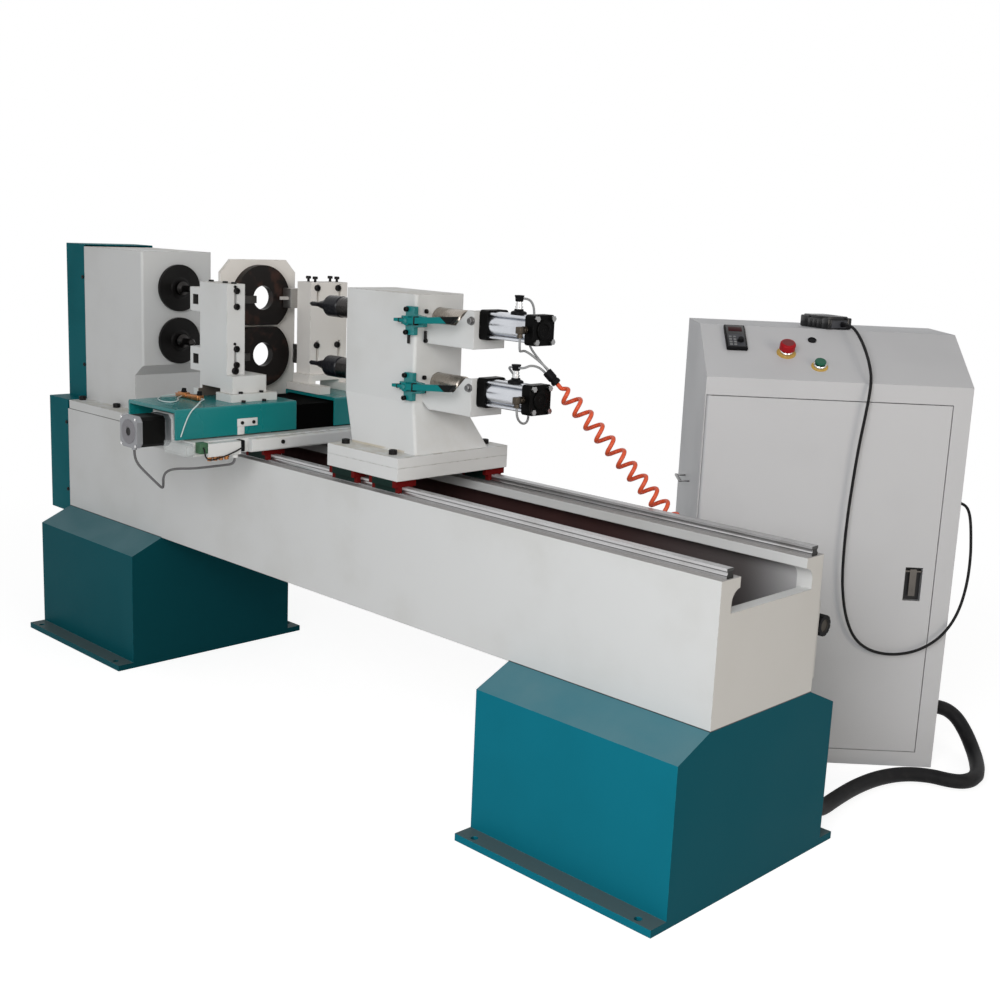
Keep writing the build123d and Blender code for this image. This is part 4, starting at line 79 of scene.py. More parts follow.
# Camera solved from the edges of the bed, feet and cabinet
CAMERA_PLACE = (2.8411, -2.3949, 1.4261)
CAMERA_TURN, CAMERA_DIP, CAMERA_ROLL = radians(44.046), radians(11.705), radians(-2.512)
ahead = Vector((-sin(CAMERA_TURN) * cos(CAMERA_DIP), cos(CAMERA_TURN) * cos(CAMERA_DIP), -sin(CAMERA_DIP)))
right = Vector((cos(CAMERA_TURN), sin(CAMERA_TURN), 0.0))
down = ahead.cross(right)
lens = bpy.data.cameras.new("camera")
lens.sensor_width = 36.0
lens.lens = 47.985
lens.clip_end = 100.0
camera = bpy.data.objects.new("camera", lens)
bpy.context.scene.collection.objects.link(camera)
camera.matrix_world = columns(
    right * cos(CAMERA_ROLL) + down * sin(CAMERA_ROLL),
    right * sin(CAMERA_ROLL) - down * cos(CAMERA_ROLL),
    -ahead,
    CAMERA_PLACE,
)
bpy.context.scene.camera = camera


class Amount:
    """A value or vector inside a finish. Arithmetic on it adds the nodes."""

    def __init__(self, finish, socket):
        self.finish = finish
        self.socket = socket

    def math(self, operation, first, second=0.0):
        return self.finish.node("ShaderNodeMath", {"operation": operation}, {0: first, 1: second})

    def __add__(self, other):
        return self.math("ADD", self, other)

    def __radd__(self, other):
        return self.math("ADD", other, self)

    def __sub__(self, other):
        return self.math("SUBTRACT", self, other)

    def __rsub__(self, other):
        return self.math("SUBTRACT", other, self)

    def __mul__(self, other):
        return self.math("MULTIPLY", self, other)

    def __rmul__(self, other):
        return self.math("MULTIPLY", other, self)

    def __abs__(self):
        return self.math("ABSOLUTE", self)

    def __pow__(self, other):
        return self.math("POWER", self, other)

    def sine(self):
        return self.math("SINE", self)


class Nodes:
    """A node tree that nodes are added to one by one."""

    def __init__(self, owner):
        owner.use_nodes = True
        self.tree = owner.node_tree

    def feed(self, socket, value):
        if isinstance(value, Amount):
            self.tree.links.new(value.socket, socket)
        else:
            socket.default_value = value

    def node(self, kind, settings={}, sockets={}, output=0):
        added = self.tree.nodes.new(kind)
        for name, value in settings.items():
            setattr(added, name, value)
        for key, value in sockets.items():
            self.feed(added.inputs[key], value)
        return Amount(self, added.outputs[output])

    def rise(self, value, low, high):
        """0 below low, 1 above high, smooth between them."""
        smooth = {"interpolation_type": "SMOOTHSTEP"}
        return self.node("ShaderNodeMapRange", smooth, {0: value, 1: low, 2: high})

    def background_rays(self):
        """1 for rays that show the background: straight, mirrored or through glass."""
        seen = self.node("ShaderNodeLightPath", output="Is Camera Ray")
        for ray in ("Is Glossy Ray", "Is Transmission Ray"):
            seen = seen.math("MAXIMUM", seen, self.node("ShaderNodeLightPath", output=ray))
        return seen

    def blend(self, share, first, second):
        return self.node("ShaderNodeMixShader", {}, {0: share, 1: first, 2: second})


FINISHES = {}


class Finish(Nodes):
    """A procedural finish, kept under its name. Patterns lie on the piece's own coordinates."""

    def __init__(self, name, **fixed):
        FINISHES[name] = bpy.data.materials.new(name)
        super().__init__(FINISHES[name])
        self.shader = self.tree.nodes["Principled BSDF"]
        for socket, value in fixed.items():
            self.shader.inputs[socket.replace("_", " ")].default_value = value
        self.place = self.node("ShaderNodeTexCoord", output="Object")
        self.x, self.y, self.z = [self.along(self.place, axis) for axis in "XYZ"]

    def along(self, vector, axis):
        return self.node("ShaderNodeSeparateXYZ", {}, {0: vector}, axis)

    def mix(self, share, first, second):
        """A colour between two others."""
        pair = [colour if isinstance(colour, Amount) else (*colour, 1.0) for colour in (first, second)]
        return self.node("ShaderNodeMix", {"data_type": "RGBA"}, {0: share, 6: pair[0], 7: pair[1]}, 2)

    def noise(self, scale, detail, stretch=(1.0, 1.0, 1.0)):
        """Cloudy noise, drawn out along an axis where stretch is small."""
        place = self.node("ShaderNodeMapping", {}, {"Vector": self.place, "Scale": stretch})
        return self.node("ShaderNodeTexNoise", {}, {"Vector": place, "Scale": scale, "Detail": detail})

    def band(self, value, low, high, soft=0.0006):
        """1 between low and high."""
        return self.rise(value, low - soft, low + soft) * self.rise(value, high + soft, high - soft)

    def radius(self, y, z):
        """Distance from an axis along X."""
        across, above = self.y - y, self.z - z
        return (across * across + above * above) ** 0.5

    def facing(self, axis):
        """How far the surface faces along an axis."""
        return self.along(self.node("ShaderNodeNewGeometry", output="Normal"), axis)

    def soften(self, radius):
        """Rounds the edges in the shading, and returns a mask along them."""
        self.edge = self.node("ShaderNodeBevel", {"samples": 4}, {"Radius": radius})
        flat = self.node("ShaderNodeNewGeometry", output="Normal")
        meeting = self.node("ShaderNodeVectorMath", {"operation": "DOT_PRODUCT"}, {0: self.edge, 1: flat}, 1)
        return self.rise(meeting, 0.985, 0.8)

    def paint(self, colour):
        self.body = colour
        self.feed(self.shader.inputs["Base Color"], colour)

    def cover(self, share, colour):
        """Lays a colour over the body where share is 1."""
        self.paint(self.mix(share, self.body, colour))

    def rough(self, value):
        self.feed(self.shader.inputs["Roughness"], value)

    def metal(self, value):
        self.feed(self.shader.inputs["Metallic"], value)

    def relief(self, height, depth, strength):
        """Small heights on the surface, over the softened edges."""
        sockets = {"Height": height, "Distance": depth, "Strength": strength, "Normal": self.edge}
        self.feed(self.shader.inputs["Normal"], self.node("ShaderNodeBump", {}, sockets))


def enamel(name, colour, grime, rubbed, gloss=0.34, peel=420.0, edge=0.003, sheen=0.3, dust=None):
    """Sprayed enamel: orange peel, cloudy grime, rubbed edges and dust on what faces up."""
    finish = Finish(name, Specular_IOR_Level=sheen)
    clouds = finish.noise(4.5, 5.0)
    specks = finish.noise(46.0, 4.0)
    worn = finish.soften(edge) * finish.rise(specks, 0.44, 0.62)
    finish.paint(finish.mix(finish.rise(clouds, 0.42, 0.78) * 0.55, colour, grime))
    if dust:
        settled = finish.rise(finish.facing("Z"), 0.35, 0.85) * finish.rise(specks + clouds, 0.8, 1.25)
        finish.cover(settled * 0.75, dust)
    finish.cover(worn * 0.8, rubbed)
    finish.rough(gloss + 0.22 * clouds)
    finish.relief(finish.noise(peel, 2.0), 0.0004, 0.35)
    return finish


def bare_metal(name, colour, stain, stretch, gloss=0.24):
    """Machined metal with tool lines along one direction, faint stains and painted highlights along the
    edges.
    """
    finish = Finish(name, Metallic=1.0)
    lines = finish.noise(1.0, 5.0, stretch)
    clouds = finish.noise(11.0, 4.0)
    edge_highlight = finish.soften(0.0008)
    finish.paint(finish.mix(finish.rise(clouds, 0.45, 0.8) * 0.7, colour, stain))
    finish.cover(lines * 0.35, stain)
    # Painted highlight: the edges are painted a paler copy of the colour
    finish.cover(edge_highlight * 0.5, [min(1.0, part * 1.5) for part in colour])
    finish.rough(gloss + 0.22 * lines)
    finish.relief(lines, 0.0002, 0.5)
    return finish


def oxide(name, colour, stain, stretch, gloss, sheen):
    """Black oxide over machined steel."""
    finish = bare_metal(name, colour, stain, stretch, gloss)
    finish.metal(0.0)
    finish.shader.inputs["Specular IOR Level"].default_value = sheen
    return finish


def moulded(name, colour, worn, gloss=0.42, sheen=0.25):
    """Moulded plastic or rubber with a fine grain and paler, polished patches."""
    finish = Finish(name, Specular_IOR_Level=sheen)
    clouds = finish.noise(24.0, 4.0)
    edge = finish.soften(0.0012)
    finish.paint(finish.mix(finish.rise(clouds, 0.45, 0.75) * 0.5, colour, worn))
    finish.cover(edge * 0.35, worn)
    finish.rough(gloss + 0.15 * clouds)
    finish.relief(finish.noise(900.0, 2.0), 0.00015, 0.4)
    return finish


def even(value):
    """A grey, or a grain that is alike in all directions."""
    return (value, value, value)


# Bed: machined top, painted shade on the end face, dark seams over the feet, and primer in the trough,
# lightened towards its open end by dust and painted light
WHITE = (0.72, 0.73, 0.73)
coat = enamel("bed_enamel", WHITE, (0.62, 0.62, 0.6), (0.42, 0.4, 0.37))
x, y, z = coat.x, coat.y, coat.z
# Painted shade: the right end face is painted a darker, warmer grey
shaded_end_face = coat.rise(coat.facing("X"), 0.8, 0.95) * coat.rise(x, 1.348, 1.3495)
coat.cover(shaded_end_face * 0.8, (0.57, 0.555, 0.525))
trough = coat.band(abs(y), -1.0, 0.1558) * coat.band(z, 0.4795, 0.7105) * coat.band(x, -1.3105, 1.3105)
primer_and_end_light = coat.mix(coat.noise(16.0, 5.0), (0.075, 0.034, 0.032), (0.045, 0.024, 0.024))
# Towards the open end the primer turns light grey: partly dust, partly painted light falling in from the end
primer_and_end_light = coat.mix(coat.rise(x, 0.7, 1.25), primer_and_end_light, (0.115, 0.106, 0.106))
primer_and_end_light = coat.mix(coat.rise(x, 1.15, 1.345), primer_and_end_light, (0.49, 0.49, 0.5))
coat.cover(trough, primer_and_end_light)
foot_seam = coat.rise(z, 0.4128, 0.4116) * coat.rise(abs(x), 0.764, 0.766)
coat.cover(foot_seam, (0.03, 0.032, 0.032))
bare_top = coat.mix(coat.noise(30.0, 4.0, (0.1, 1.0, 1.0)), (0.46, 0.45, 0.445), (0.31, 0.3, 0.295))
coat.cover(coat.rise(z, 0.7342, 0.7348) * coat.rise(x, -1.0005, -0.9995), bare_top)

# White castings: painted shade inside the front tool sockets and the tunnel through the post, a seam under
# the headstock, stains at the column's foot
SOCKET_HALF = 0.0145
coat = enamel("white_enamel", WHITE, (0.6, 0.6, 0.58), (0.4, 0.38, 0.35), dust=(0.58, 0.55, 0.48))
x, y, z = coat.x, coat.y, coat.z
# Painted shade: the insides of the front tool sockets are painted near-black, in the same colour as the dark
# seam under the headstock
sockets = sum(coat.band(z, axis - SOCKET_HALF, axis + SOCKET_HALF) for axis in (LOW, HIGH))
sockets = sockets * coat.band(x, -0.4965, -0.4675) * coat.band(y, -0.2493, -0.12)
seam = coat.band(z, 0.747, 0.75) * coat.rise(x, -0.99, -0.995)
coat.cover(sockets + seam, (0.03, 0.029, 0.028))
# Painted shade: the walls of the tunnel through the post's foot are painted dark brown
shaded_tunnel = coat.band(x, -0.4488, -0.3572) * coat.band(y, -0.2635, -0.107) * coat.band(z, 0.9, 0.9346)
coat.cover(shaded_tunnel, (0.11, 0.092, 0.078))
foot_line = coat.band(z, 0.8352, 0.8405, 0.0025) * coat.band(x, -0.02, 0.3)
coat.cover(foot_line * coat.rise(coat.noise(26.0, 3.0), 0.35, 0.6) * 0.6, (0.42, 0.33, 0.17))

# Feet: blue-teal enamel with painted shade on their end faces, dusty where they face up; the left foot wears
# a darker copy of the enamel as painted shade
for name, colour, ends in (
    ("right_foot_teal", (0.006, 0.18, 0.252), (0.004, 0.075, 0.1)),
    # Painted shade: the left foot's teal is a darker copy of the right foot's
    ("shaded_left_foot_teal", (0.005, 0.096, 0.12), (0.003, 0.05, 0.062)),
):
    coat = enamel(name, colour, [part * 0.88 for part in colour], (0.03, 0.25, 0.31), 0.3, sheen=0.02)
    upward = coat.facing("Z")
    # Painted shade: the faces towards +X and -X are painted the darker end colour
    coat.cover(coat.rise(abs(coat.facing("X")), 0.7, 0.95) * 0.9, ends)
    shoulder = coat.rise(upward, 0.35, 0.7) * (0.35 + 0.5 * coat.noise(7.0, 4.0))
    coat.cover(shoulder, (0.15, 0.27, 0.3))
    sole = coat.rise(coat.z, 0.0215, 0.0195) * coat.rise(upward, 0.5, 0.8)
    coat.cover(sole * 0.9, (0.085, 0.125, 0.13))

# Other paints
TEAL_GREEN, TEAL_RUBBED = (0.005, 0.205, 0.21), (0.035, 0.29, 0.29)
CABINET_PAINT = ((0.6, 0.605, 0.622), (0.56, 0.565, 0.582), even(0.44), 0.4, 700.0, 0.002)
# Painted light: a paler, warmer copy of the white enamel for the ring plate and rear tool post, standing in
# for warm light on their faces
enamel("warm_lit_white_enamel", (0.86, 0.83, 0.79), (0.74, 0.71, 0.66), (0.46, 0.43, 0.38), dust=(0.66, 0.62, 0.54))
enamel("cover_teal", (0.003, 0.13, 0.155), (0.003, 0.1, 0.118), (0.03, 0.24, 0.27), sheen=0.03)
enamel("slide_teal", TEAL_GREEN, (0.004, 0.165, 0.17), TEAL_RUBBED, 0.16, sheen=0.45)
enamel("cabinet_grey", *CABINET_PAINT)
enamel("black_paint", even(0.003), even(0.005), (0.022, 0.021, 0.02), 0.28, sheen=0.04)
enamel("cover_black", even(0.002), even(0.003), even(0.008), 0.6, sheen=0.012)

# Rails: painted shade in the grooves and along the edges of their tops, dark ends and duller heads
coat = bare_metal("rail_steel", (0.6, 0.6, 0.61), (0.4, 0.39, 0.38), (9.0, 900.0, 900.0))
shaded_grooves = coat.band(coat.z, 0.74, 0.7418) + coat.band(coat.z, 0.7492, 0.7508)
ends = coat.rise(coat.x, 1.3452, 1.3456)
heads = coat.rise(coat.z, 0.7506, 0.7514)
tops = coat.rise(coat.facing("Z"), 0.6, 0.9) * heads
top_edge_shade = coat.band(coat.y, 0.1718, 0.174) + coat.band(coat.y, -0.1522, -0.15)
coat.metal(1 - 0.55 * heads)
coat.cover(tops * 0.55, (0.36, 0.36, 0.37))
# Painted shade: the grooves and thin lines along the top edges are painted near-black, as are the rail ends
coat.cover((shaded_grooves * 0.8 + tops * top_edge_shade * 0.7) * (1 - ends) + ends, (0.022, 0.021, 0.02))

# Quills with dark noses, cylinder barrels with duller tie nuts, and black faceplates with turning lines and
# painted ring highlights
TURNING_PITCH = 0.0016
coat = bare_metal("quill_steel", (0.4, 0.365, 0.325), (0.24, 0.205, 0.17), (700.0, 10.0, 10.0), 0.16)
coat.cover(coat.rise(coat.x, 0.002, -0.002), (0.05, 0.047, 0.046))
coat = bare_metal("barrel_metal", (0.65, 0.67, 0.71), (0.44, 0.45, 0.48), (10.0, 500.0, 500.0), 0.13)
coat.cover(coat.rise(coat.x, 0.6468, 0.6472), even(0.3))
for side, height in AXES.items():
    face = side + "_faceplate"
    coat = oxide(face, (0.0034, 0.0032, 0.0033), (0.01, 0.009, 0.008), even(300.0), 0.2, 0.13)
    turning_lines_and_highlights = (coat.radius(0.0, height) * (2 * pi / TURNING_PITCH)).sine()
    coat.relief(turning_lines_and_highlights + coat.noise(80.0, 3.0), 0.0002, 0.5)
    # Painted highlight: the crests of the turning lines are painted a lighter black
    coat.cover(coat.rise(turning_lines_and_highlights, 0.2, 1.0) * 0.35, (0.022, 0.02, 0.019))

# Other metals
TOOL_GRAIN, FINE_GRAIN = (300.0, 40.0, 300.0), even(200.0)
bare_metal("cross_steel", (0.46, 0.46, 0.47), (0.26, 0.25, 0.24), (900.0, 9.0, 900.0))
bare_metal("tool_steel", (0.42, 0.41, 0.4), (0.22, 0.2, 0.18), TOOL_GRAIN, 0.3)
bare_metal("dark_tool_steel", (0.07, 0.066, 0.062), (0.03, 0.028, 0.027), TOOL_GRAIN, 0.3)
bare_metal("centre_steel", (0.036, 0.034, 0.033), (0.014, 0.013, 0.013), (900.0, 12.0, 12.0), 0.2)
oxide("blued_steel", (0.003, 0.0034, 0.007), (0.009, 0.009, 0.01), (800.0, 10.0, 10.0), 0.18, 0.19)
bare_metal("tooth_steel", (0.27, 0.27, 0.275), (0.14, 0.13, 0.12), (300.0, 300.0, 20.0), 0.32)
bare_metal("chrome", even(0.72), even(0.55), even(60.0), 0.1)
bare_metal("latch_zinc", (0.14, 0.13, 0.12), (0.08, 0.075, 0.07), FINE_GRAIN, 0.4)
bare_metal("brass", (0.62, 0.4, 0.16), (0.4, 0.24, 0.09), FINE_GRAIN, 0.26)
bare_metal("oily_brass", (0.46, 0.2, 0.075), (0.15, 0.07, 0.035), FINE_GRAIN, 0.26)
bare_metal("bronze", (0.085, 0.07, 0.055), (0.04, 0.034, 0.028), FINE_GRAIN, 0.24)
bare_metal("screw_black", (0.014, 0.014, 0.015), (0.036, 0.034, 0.032), FINE_GRAIN, 0.34)

# Plastics and rubber
moulded("dark_plastic", (0.006, 0.006, 0.007), (0.016, 0.016, 0.017), sheen=0.06)
moulded("grey_plastic", (0.2, 0.205, 0.21), (0.27, 0.275, 0.28))
moulded("green_plastic", (0.004, 0.105, 0.058), (0.004, 0.08, 0.044), 0.26)
moulded("yellow_plastic", (0.58, 0.37, 0.085), (0.44, 0.27, 0.06), 0.4)
moulded("cable_jacket", (0.01, 0.01, 0.011), (0.026, 0.026, 0.025), 0.48, 0.12)
moulded("conduit_jacket", (0.01, 0.01, 0.011), (0.028, 0.027, 0.027), 0.5, 0.12)
moulded("motor_jacket", (0.13, 0.13, 0.135), (0.09, 0.09, 0.092), 0.5)
moulded("motor_grey", (0.25, 0.245, 0.262), (0.19, 0.186, 0.2), 0.4, 0.12)
moulded("tube_plastic", (0.34, 0.35, 0.36), even(0.24), 0.3)
moulded("hose_plastic", (0.77, 0.11, 0.042), (0.64, 0.08, 0.03), 0.24)
moulded("pale_tube", (0.55, 0.65, 0.65), (0.42, 0.54, 0.54), 0.2)
moulded("terminal_green", (0.055, 0.14, 0.075), (0.04, 0.1, 0.055), 0.4)
moulded("gloss_black", (0.004, 0.004, 0.005), (0.01, 0.01, 0.011), 0.12, 0.34)
moulded("display_red", (0.04, 0.004, 0.006), (0.026, 0.003, 0.004), 0.12, 0.1)
moulded("panel_grey", (0.058, 0.06, 0.069), (0.04, 0.042, 0.048), 0.34, 0.12)
coat = moulded("clear_plastic", (0.7, 0.74, 0.74), (0.58, 0.62, 0.62), 0.1, 0.5)
coat.shader.inputs["Alpha"].default_value = 0.28

# Stop button: a duller red on its top, which slopes as the desk does
coat = moulded("red_plastic", (0.38, 0.01, 0.016), (0.28, 0.008, 0.012), 0.34, 0.12)
coat.cover(coat.band(coat.facing("Z"), 0.846, 0.87, 0.004) * 0.8, (0.16, 0.042, 0.046))

# Steady rings: black castings with rusty patches
RING_COLOURS = ((0.012, 0.01, 0.0095), (0.032, 0.019, 0.015), (0.075, 0.055, 0.044))
coat = enamel("ring_iron", *RING_COLOURS, 0.3, sheen=0.14)
coat.cover(coat.rise(coat.noise(19.0, 6.0), 0.5, 0.68) * 0.7, (0.06, 0.028, 0.02))

# Guide blocks: dark green steel with red end seals
SEALS = (
    (-1.0, -0.55), (-0.47, -0.457), (-0.323, -0.31), (-0.23, -0.2),
    (0.07, 0.088), (0.168, 0.1805), (0.2395, 0.252), (0.332, 0.35),
)
GUIDE_COLOURS = ((0.009, 0.024, 0.02), (0.012, 0.02, 0.018), (0.06, 0.06, 0.055))
coat = enamel("guide_green", *GUIDE_COLOURS, 0.3, 600.0, 0.001, 0.03)
coat.cover(sum(coat.band(coat.x, low, high) for low, high in SEALS), (0.13, 0.007, 0.007))

# Feed motors: a black plate stack between aluminium end caps
coat = enamel("motor_body", even(0.005), even(0.009), even(0.04), 0.38, 900.0, 0.0015, 0.06)
end_caps = coat.band(coat.y, -0.6, -0.523) + coat.band(coat.y, -0.453, -0.4)
hanging = coat.band(coat.y, -0.2, -0.05)
end_caps = end_caps + hanging * (coat.band(coat.z, 0.5, 0.57) + coat.band(coat.z, 0.628, 0.7))
coat.cover(end_caps, (0.29, 0.295, 0.31))
coat.metal(end_caps * 0.9)

# Air regulator: dull cast body on a pale plate, a dark bowl and a black hose socket, and its dished knob
coat = enamel("regulator_metal", (0.2, 0.18, 0.15), (0.13, 0.115, 0.1), (0.34, 0.32, 0.28))
plate = coat.rise(coat.y, 0.2008, 0.2002) * coat.rise(coat.x, 1.28, 1.29)
bowl = coat.rise(coat.z, 0.5452, 0.5448) * (1 - plate)
coat.cover(plate, (0.5, 0.49, 0.47))
coat.cover(bowl + coat.rise(coat.x, 1.02, 1.0), (0.018, 0.018, 0.024))
coat = moulded("knob_black", (0.005, 0.005, 0.006), (0.014, 0.014, 0.015), sheen=0.05)
dish = coat.rise(coat.radius(0.226, 0.562), 0.0155, 0.0145) * coat.rise(coat.x, 1.343, 1.345)
coat.cover(dish, (0.085, 0.078, 0.07))

# Clamp levers: teal arms with a near-black blade end
coat = enamel("lever_teal", TEAL_GREEN, (0.004, 0.16, 0.165), TEAL_RUBBED, 0.24, sheen=0.08)
lever_height = coat.z - LEVERS["lower"] - (HIGH - LOW) * coat.rise(coat.z, 1.085, 1.095)
coat.cover(coat.rise(coat.x + lever_height * 1.6, 0.429, 0.431), (0.004, 0.005, 0.005))

# Door: cabinet grey with a black latch cup
coat = enamel("door_grey", *CABINET_PAINT)
along_door = (coat.x - CABINET_CORNER.x) * CABINET_U.x + (coat.y - CABINET_CORNER.y) * CABINET_U.y
coat.cover(coat.band(along_door, 0.572, 0.618) * coat.band(coat.z, 0.476, 0.568), (0.018, 0.018, 0.019))

NODE_FINISHES = {
    "white_enamel": "headstock saddle front_tool_post tail_plate tail_column quill_brackets",
    "warm_lit_white_enamel": "ring_plate rear_tool_post",
    "bed_enamel": "bed",
    "right_foot_teal": "foot_right",
    "shaded_left_foot_teal": "foot_left",
    "cover_teal": "spindle_cover drive_cover",
    "slide_teal": "front_slide rear_slide quill_clamps",
    "cabinet_grey": "cabinet electrics",
    "door_grey": "door",
    "black_paint": "cylinder_caps drive_motor",
    "cover_black": "center_cover",
    "ring_iron": "steady_rings",
    "guide_green": "carriage_blocks tail_blocks",
    "motor_body": "feed_motors",
    "rail_steel": "bed_rails",
    "cross_steel": "cross_rails cross_screw",
    "tool_steel": "rear_tool_holders",
    "dark_tool_steel": "front_tools",
    "lower_faceplate": "lower_spindle",
    "upper_faceplate": "upper_spindle",
    "centre_steel": "lower_drive_center upper_drive_center spindle_bearings",
    "blued_steel": "lower_live_center upper_live_center",
    "quill_steel": "lower_quill upper_quill",
    "tooth_steel": "feed_rack feed_pinion motor_pulley",
    "barrel_metal": "cylinder_barrels",
    "regulator_metal": "air_regulator",
    "brass": "air_fittings",
    "lever_teal": "lower_clamp_lever upper_clamp_lever",
    "chrome": "panel_fittings",
    "latch_zinc": "door_latch",
    "red_plastic": "stop_button",
    "green_plastic": "start_button",
    "knob_black": "regulator_knob",
    "dark_plastic": "pendant drive_belts",
}


def wear(data, finish):
    """Give a mesh one finish."""
    data.materials.clear()
    data.materials.append(FINISHES[finish])


for finish, names in NODE_FINISHES.items():
    for name in names.split():
        wear(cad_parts[name].data, finish)


# Cords
def smooth_line(name, points, diameter=0.0):
    """A smooth line with these points as its control points, round where it has a diameter."""
    curve = bpy.data.curves.new(name, "CURVE")
    curve.dimensions = "3D"
    spline = curve.splines.new("NURBS")
    spline.points.add(len(points) - 1)
    for control, point in zip(spline.points, points):
        control.co = (*point, 1.0)
    spline.order_u = 3
    spline.use_endpoint_u = True
    spline.resolution_u = 6
    curve.bevel_depth = diameter / 2
    curve.bevel_resolution = 3
    curve.use_fill_caps = diameter > 0
    line = bpy.data.objects.new(name, curve)
    bpy.context.collection.objects.link(line)
    return line


def pick(*pieces):
    """Select these pieces only, with the first one active."""
    bpy.ops.object.select_all(action="DESELECT")
    for piece in pieces:
        piece.select_set(True)
    bpy.context.view_layer.objects.active = pieces[0]


def cord_tube(name, points, diameter):
    """A mesh tube along a smooth line, and the points of that line."""
    line = smooth_line("route", points)
    route_mesh = bpy.data.meshes.new_from_object(line)
    path = [vertex.co.copy() for vertex in route_mesh.vertices]
    bpy.data.meshes.remove(route_mesh)
    bpy.data.objects.remove(line)
    pick(smooth_line(name, points, diameter))
    bpy.ops.object.convert(target="MESH")
    bpy.ops.object.shade_smooth()
    return bpy.context.object, path


def riding_cord(name, body, stands_for, points, finish, diameter):
    """A cord that rides on one body, in the place of a solid if it stands for one."""
    line = smooth_line(name, points, diameter)
    line.data.materials.append(FINISHES[finish])
    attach(line, body)
    if stands_for:
        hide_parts(stands_for)


def millimetres(points, place=Matrix()):
    """Route points given in millimetres, in a frame, as points in metres."""
    return [place @ (Vector(point) / 1000) for point in points]


# Pendant cable: over the desk, down the front in a loop and into the cabinet's right side
PENDANT_CABLE = 0.008
PENDANT_EXIT = [(16, -18, 14.4), (16, -45, 14.4)]
PENDANT_ROUTE = [
    (422, 126, 1168), (428, 78, 1136), (429, 32, 1106), (428, -4, 1076), (424, -20, 1036), (417, -23, 972),
    (408, -22, 890), (402, -21, 800), (397, -20, 700), (396, -21, 600), (401, -20, 510), (417, -21, 430),
    (447, -20, 366), (495, -21, 334), (558, -20, 326), (624, -21, 342), (682, -20, 384), (722, -8, 444),
    (744, 10, 520), (752, 28, 596), (751, 43, 656), (748, 54, 700), (740, 61, 727), (724, 63, 738),
    (716, 63, 738),
]
pendant_points = millimetres(PENDANT_EXIT, PENDANT) + millimetres(PENDANT_ROUTE, CABINET)
pendant_lead, pendant_path = cord_tube("pendant_lead", pendant_points, PENDANT_CABLE)
wear(pendant_lead.data, "cable_jacket")
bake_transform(pendant_lead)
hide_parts("pendant_cable")

# Conduit: out of the cabinet, along the floor and up into the right foot
CONDUIT_START = [
    (722, 152, 126), (762, 152, 126), (802, 143, 104), (825, 114, 68), (833, 70, 38), (829, 16, 21.5),
]
CONDUIT_FLOOR = [
    (1426, 983, 20.5), (1438, 932, 20.5), (1428, 890, 20.5), (1397, 870, 20.5), (1347, 860, 20.5),
    (1296, 818, 20.5), (1264, 742, 20.5), (1253, 640, 20.5), (1258, 532, 20.5), (1267, 444, 20.5),
    (1270, 404, 36), (1269, 374, 68), (1268, 348, 78), (1268, 322, 78),
]
riding_cord(
    "floor_conduit", "base", "conduit", millimetres(CONDUIT_START, CABINET) + millimetres(CONDUIT_FLOOR),
    "conduit_jacket", 0.04,
)

# Motor cable: from the feed motor down in a slack loop and along the saddle to the switch
MOTOR_ROUTE = [
    (-346, -532, 785), (-346, -532, 768), (-341, -526, 746), (-331, -508, 722), (-318, -484, 694),
    (-312, -468, 676), (-322, -458, 680), (-340, -448, 700), (-342, -436, 716), (-326, -416, 724),
    (-290, -384, 726), (-250, -345, 735), (-222, -326, 741), (-204, -313, 746), (-197.5, -310, 758),
    (-197.5, -310, 765),
]
riding_cord(
    "motor_lead", "carriage", "motor_cable", millimetres(MOTOR_ROUTE),
    "motor_jacket", 0.007,
)

# Spiral hose between the coupler and its socket on the bed's back
HOSE_START, HOSE_END = Vector((0.645, 0.061, 1.044)), Vector((0.915, 0.25, 0.7))
HOSE_LEAD, HOSE_DIAMETER, HOSE_TURNS, HOSE_RAMP, TURN_POINTS = 0.0085, 0.011, 11, 0.75, 12
HOSE_RADIUS = 0.0185 / cos(pi / TURN_POINTS)
hose_axis = (HOSE_END - HOSE_START).normalized()
hose_side = Vector((hose_axis.z, 0.0, -hose_axis.x)).normalized()
hose_up = hose_axis.cross(hose_side)
helix_start = HOSE_START + hose_axis * HOSE_LEAD
helix_length = (HOSE_END - HOSE_START).length - 2 * HOSE_LEAD


def hose_point(turns):
    """A point of the coil, which opens at one end and closes at the other."""
    opening = min(min(turns, HOSE_TURNS - turns) / HOSE_RAMP, 1.0)
    radius = HOSE_RADIUS * (1 - cos(pi * opening)) / 2
    angle = 2 * pi * turns
    outward = hose_side * cos(angle) + hose_up * sin(angle)
    return helix_start + hose_axis * (helix_length * turns / HOSE_TURNS) + outward * radius


hose_points = [HOSE_START]
hose_points += [hose_point(step / TURN_POINTS) for step in range(HOSE_TURNS * TURN_POINTS + 1)]
hose_points += [HOSE_END]
coiled_hose, hose_path = cord_tube("coiled_hose", hose_points, HOSE_DIAMETER)
wear(coiled_hose.data, "hose_plastic")
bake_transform(coiled_hose)
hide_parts("spiral_hose")

# Grey air tubes from the fittings to the coupler
COUPLER_LENGTH = 0.04
COUPLER_START = HOSE_START - hose_axis * COUPLER_LENGTH
STEM_X, SIDE_X, SIDE_OUT, LIFT = 560.95, 624.0, -58.5, 71.0
AIR_TUBE, PORT_OUT, PORT_LEAD = 0.006, 0.0065, 0.016


def coupler_port(across, up):
    """A tube's end on the coupler's face, after a point straight in front of it."""
    port = COUPLER_START + hose_side * (across * PORT_OUT) + hose_up * (up * PORT_OUT)
    return [port - hose_axis * PORT_LEAD, port]


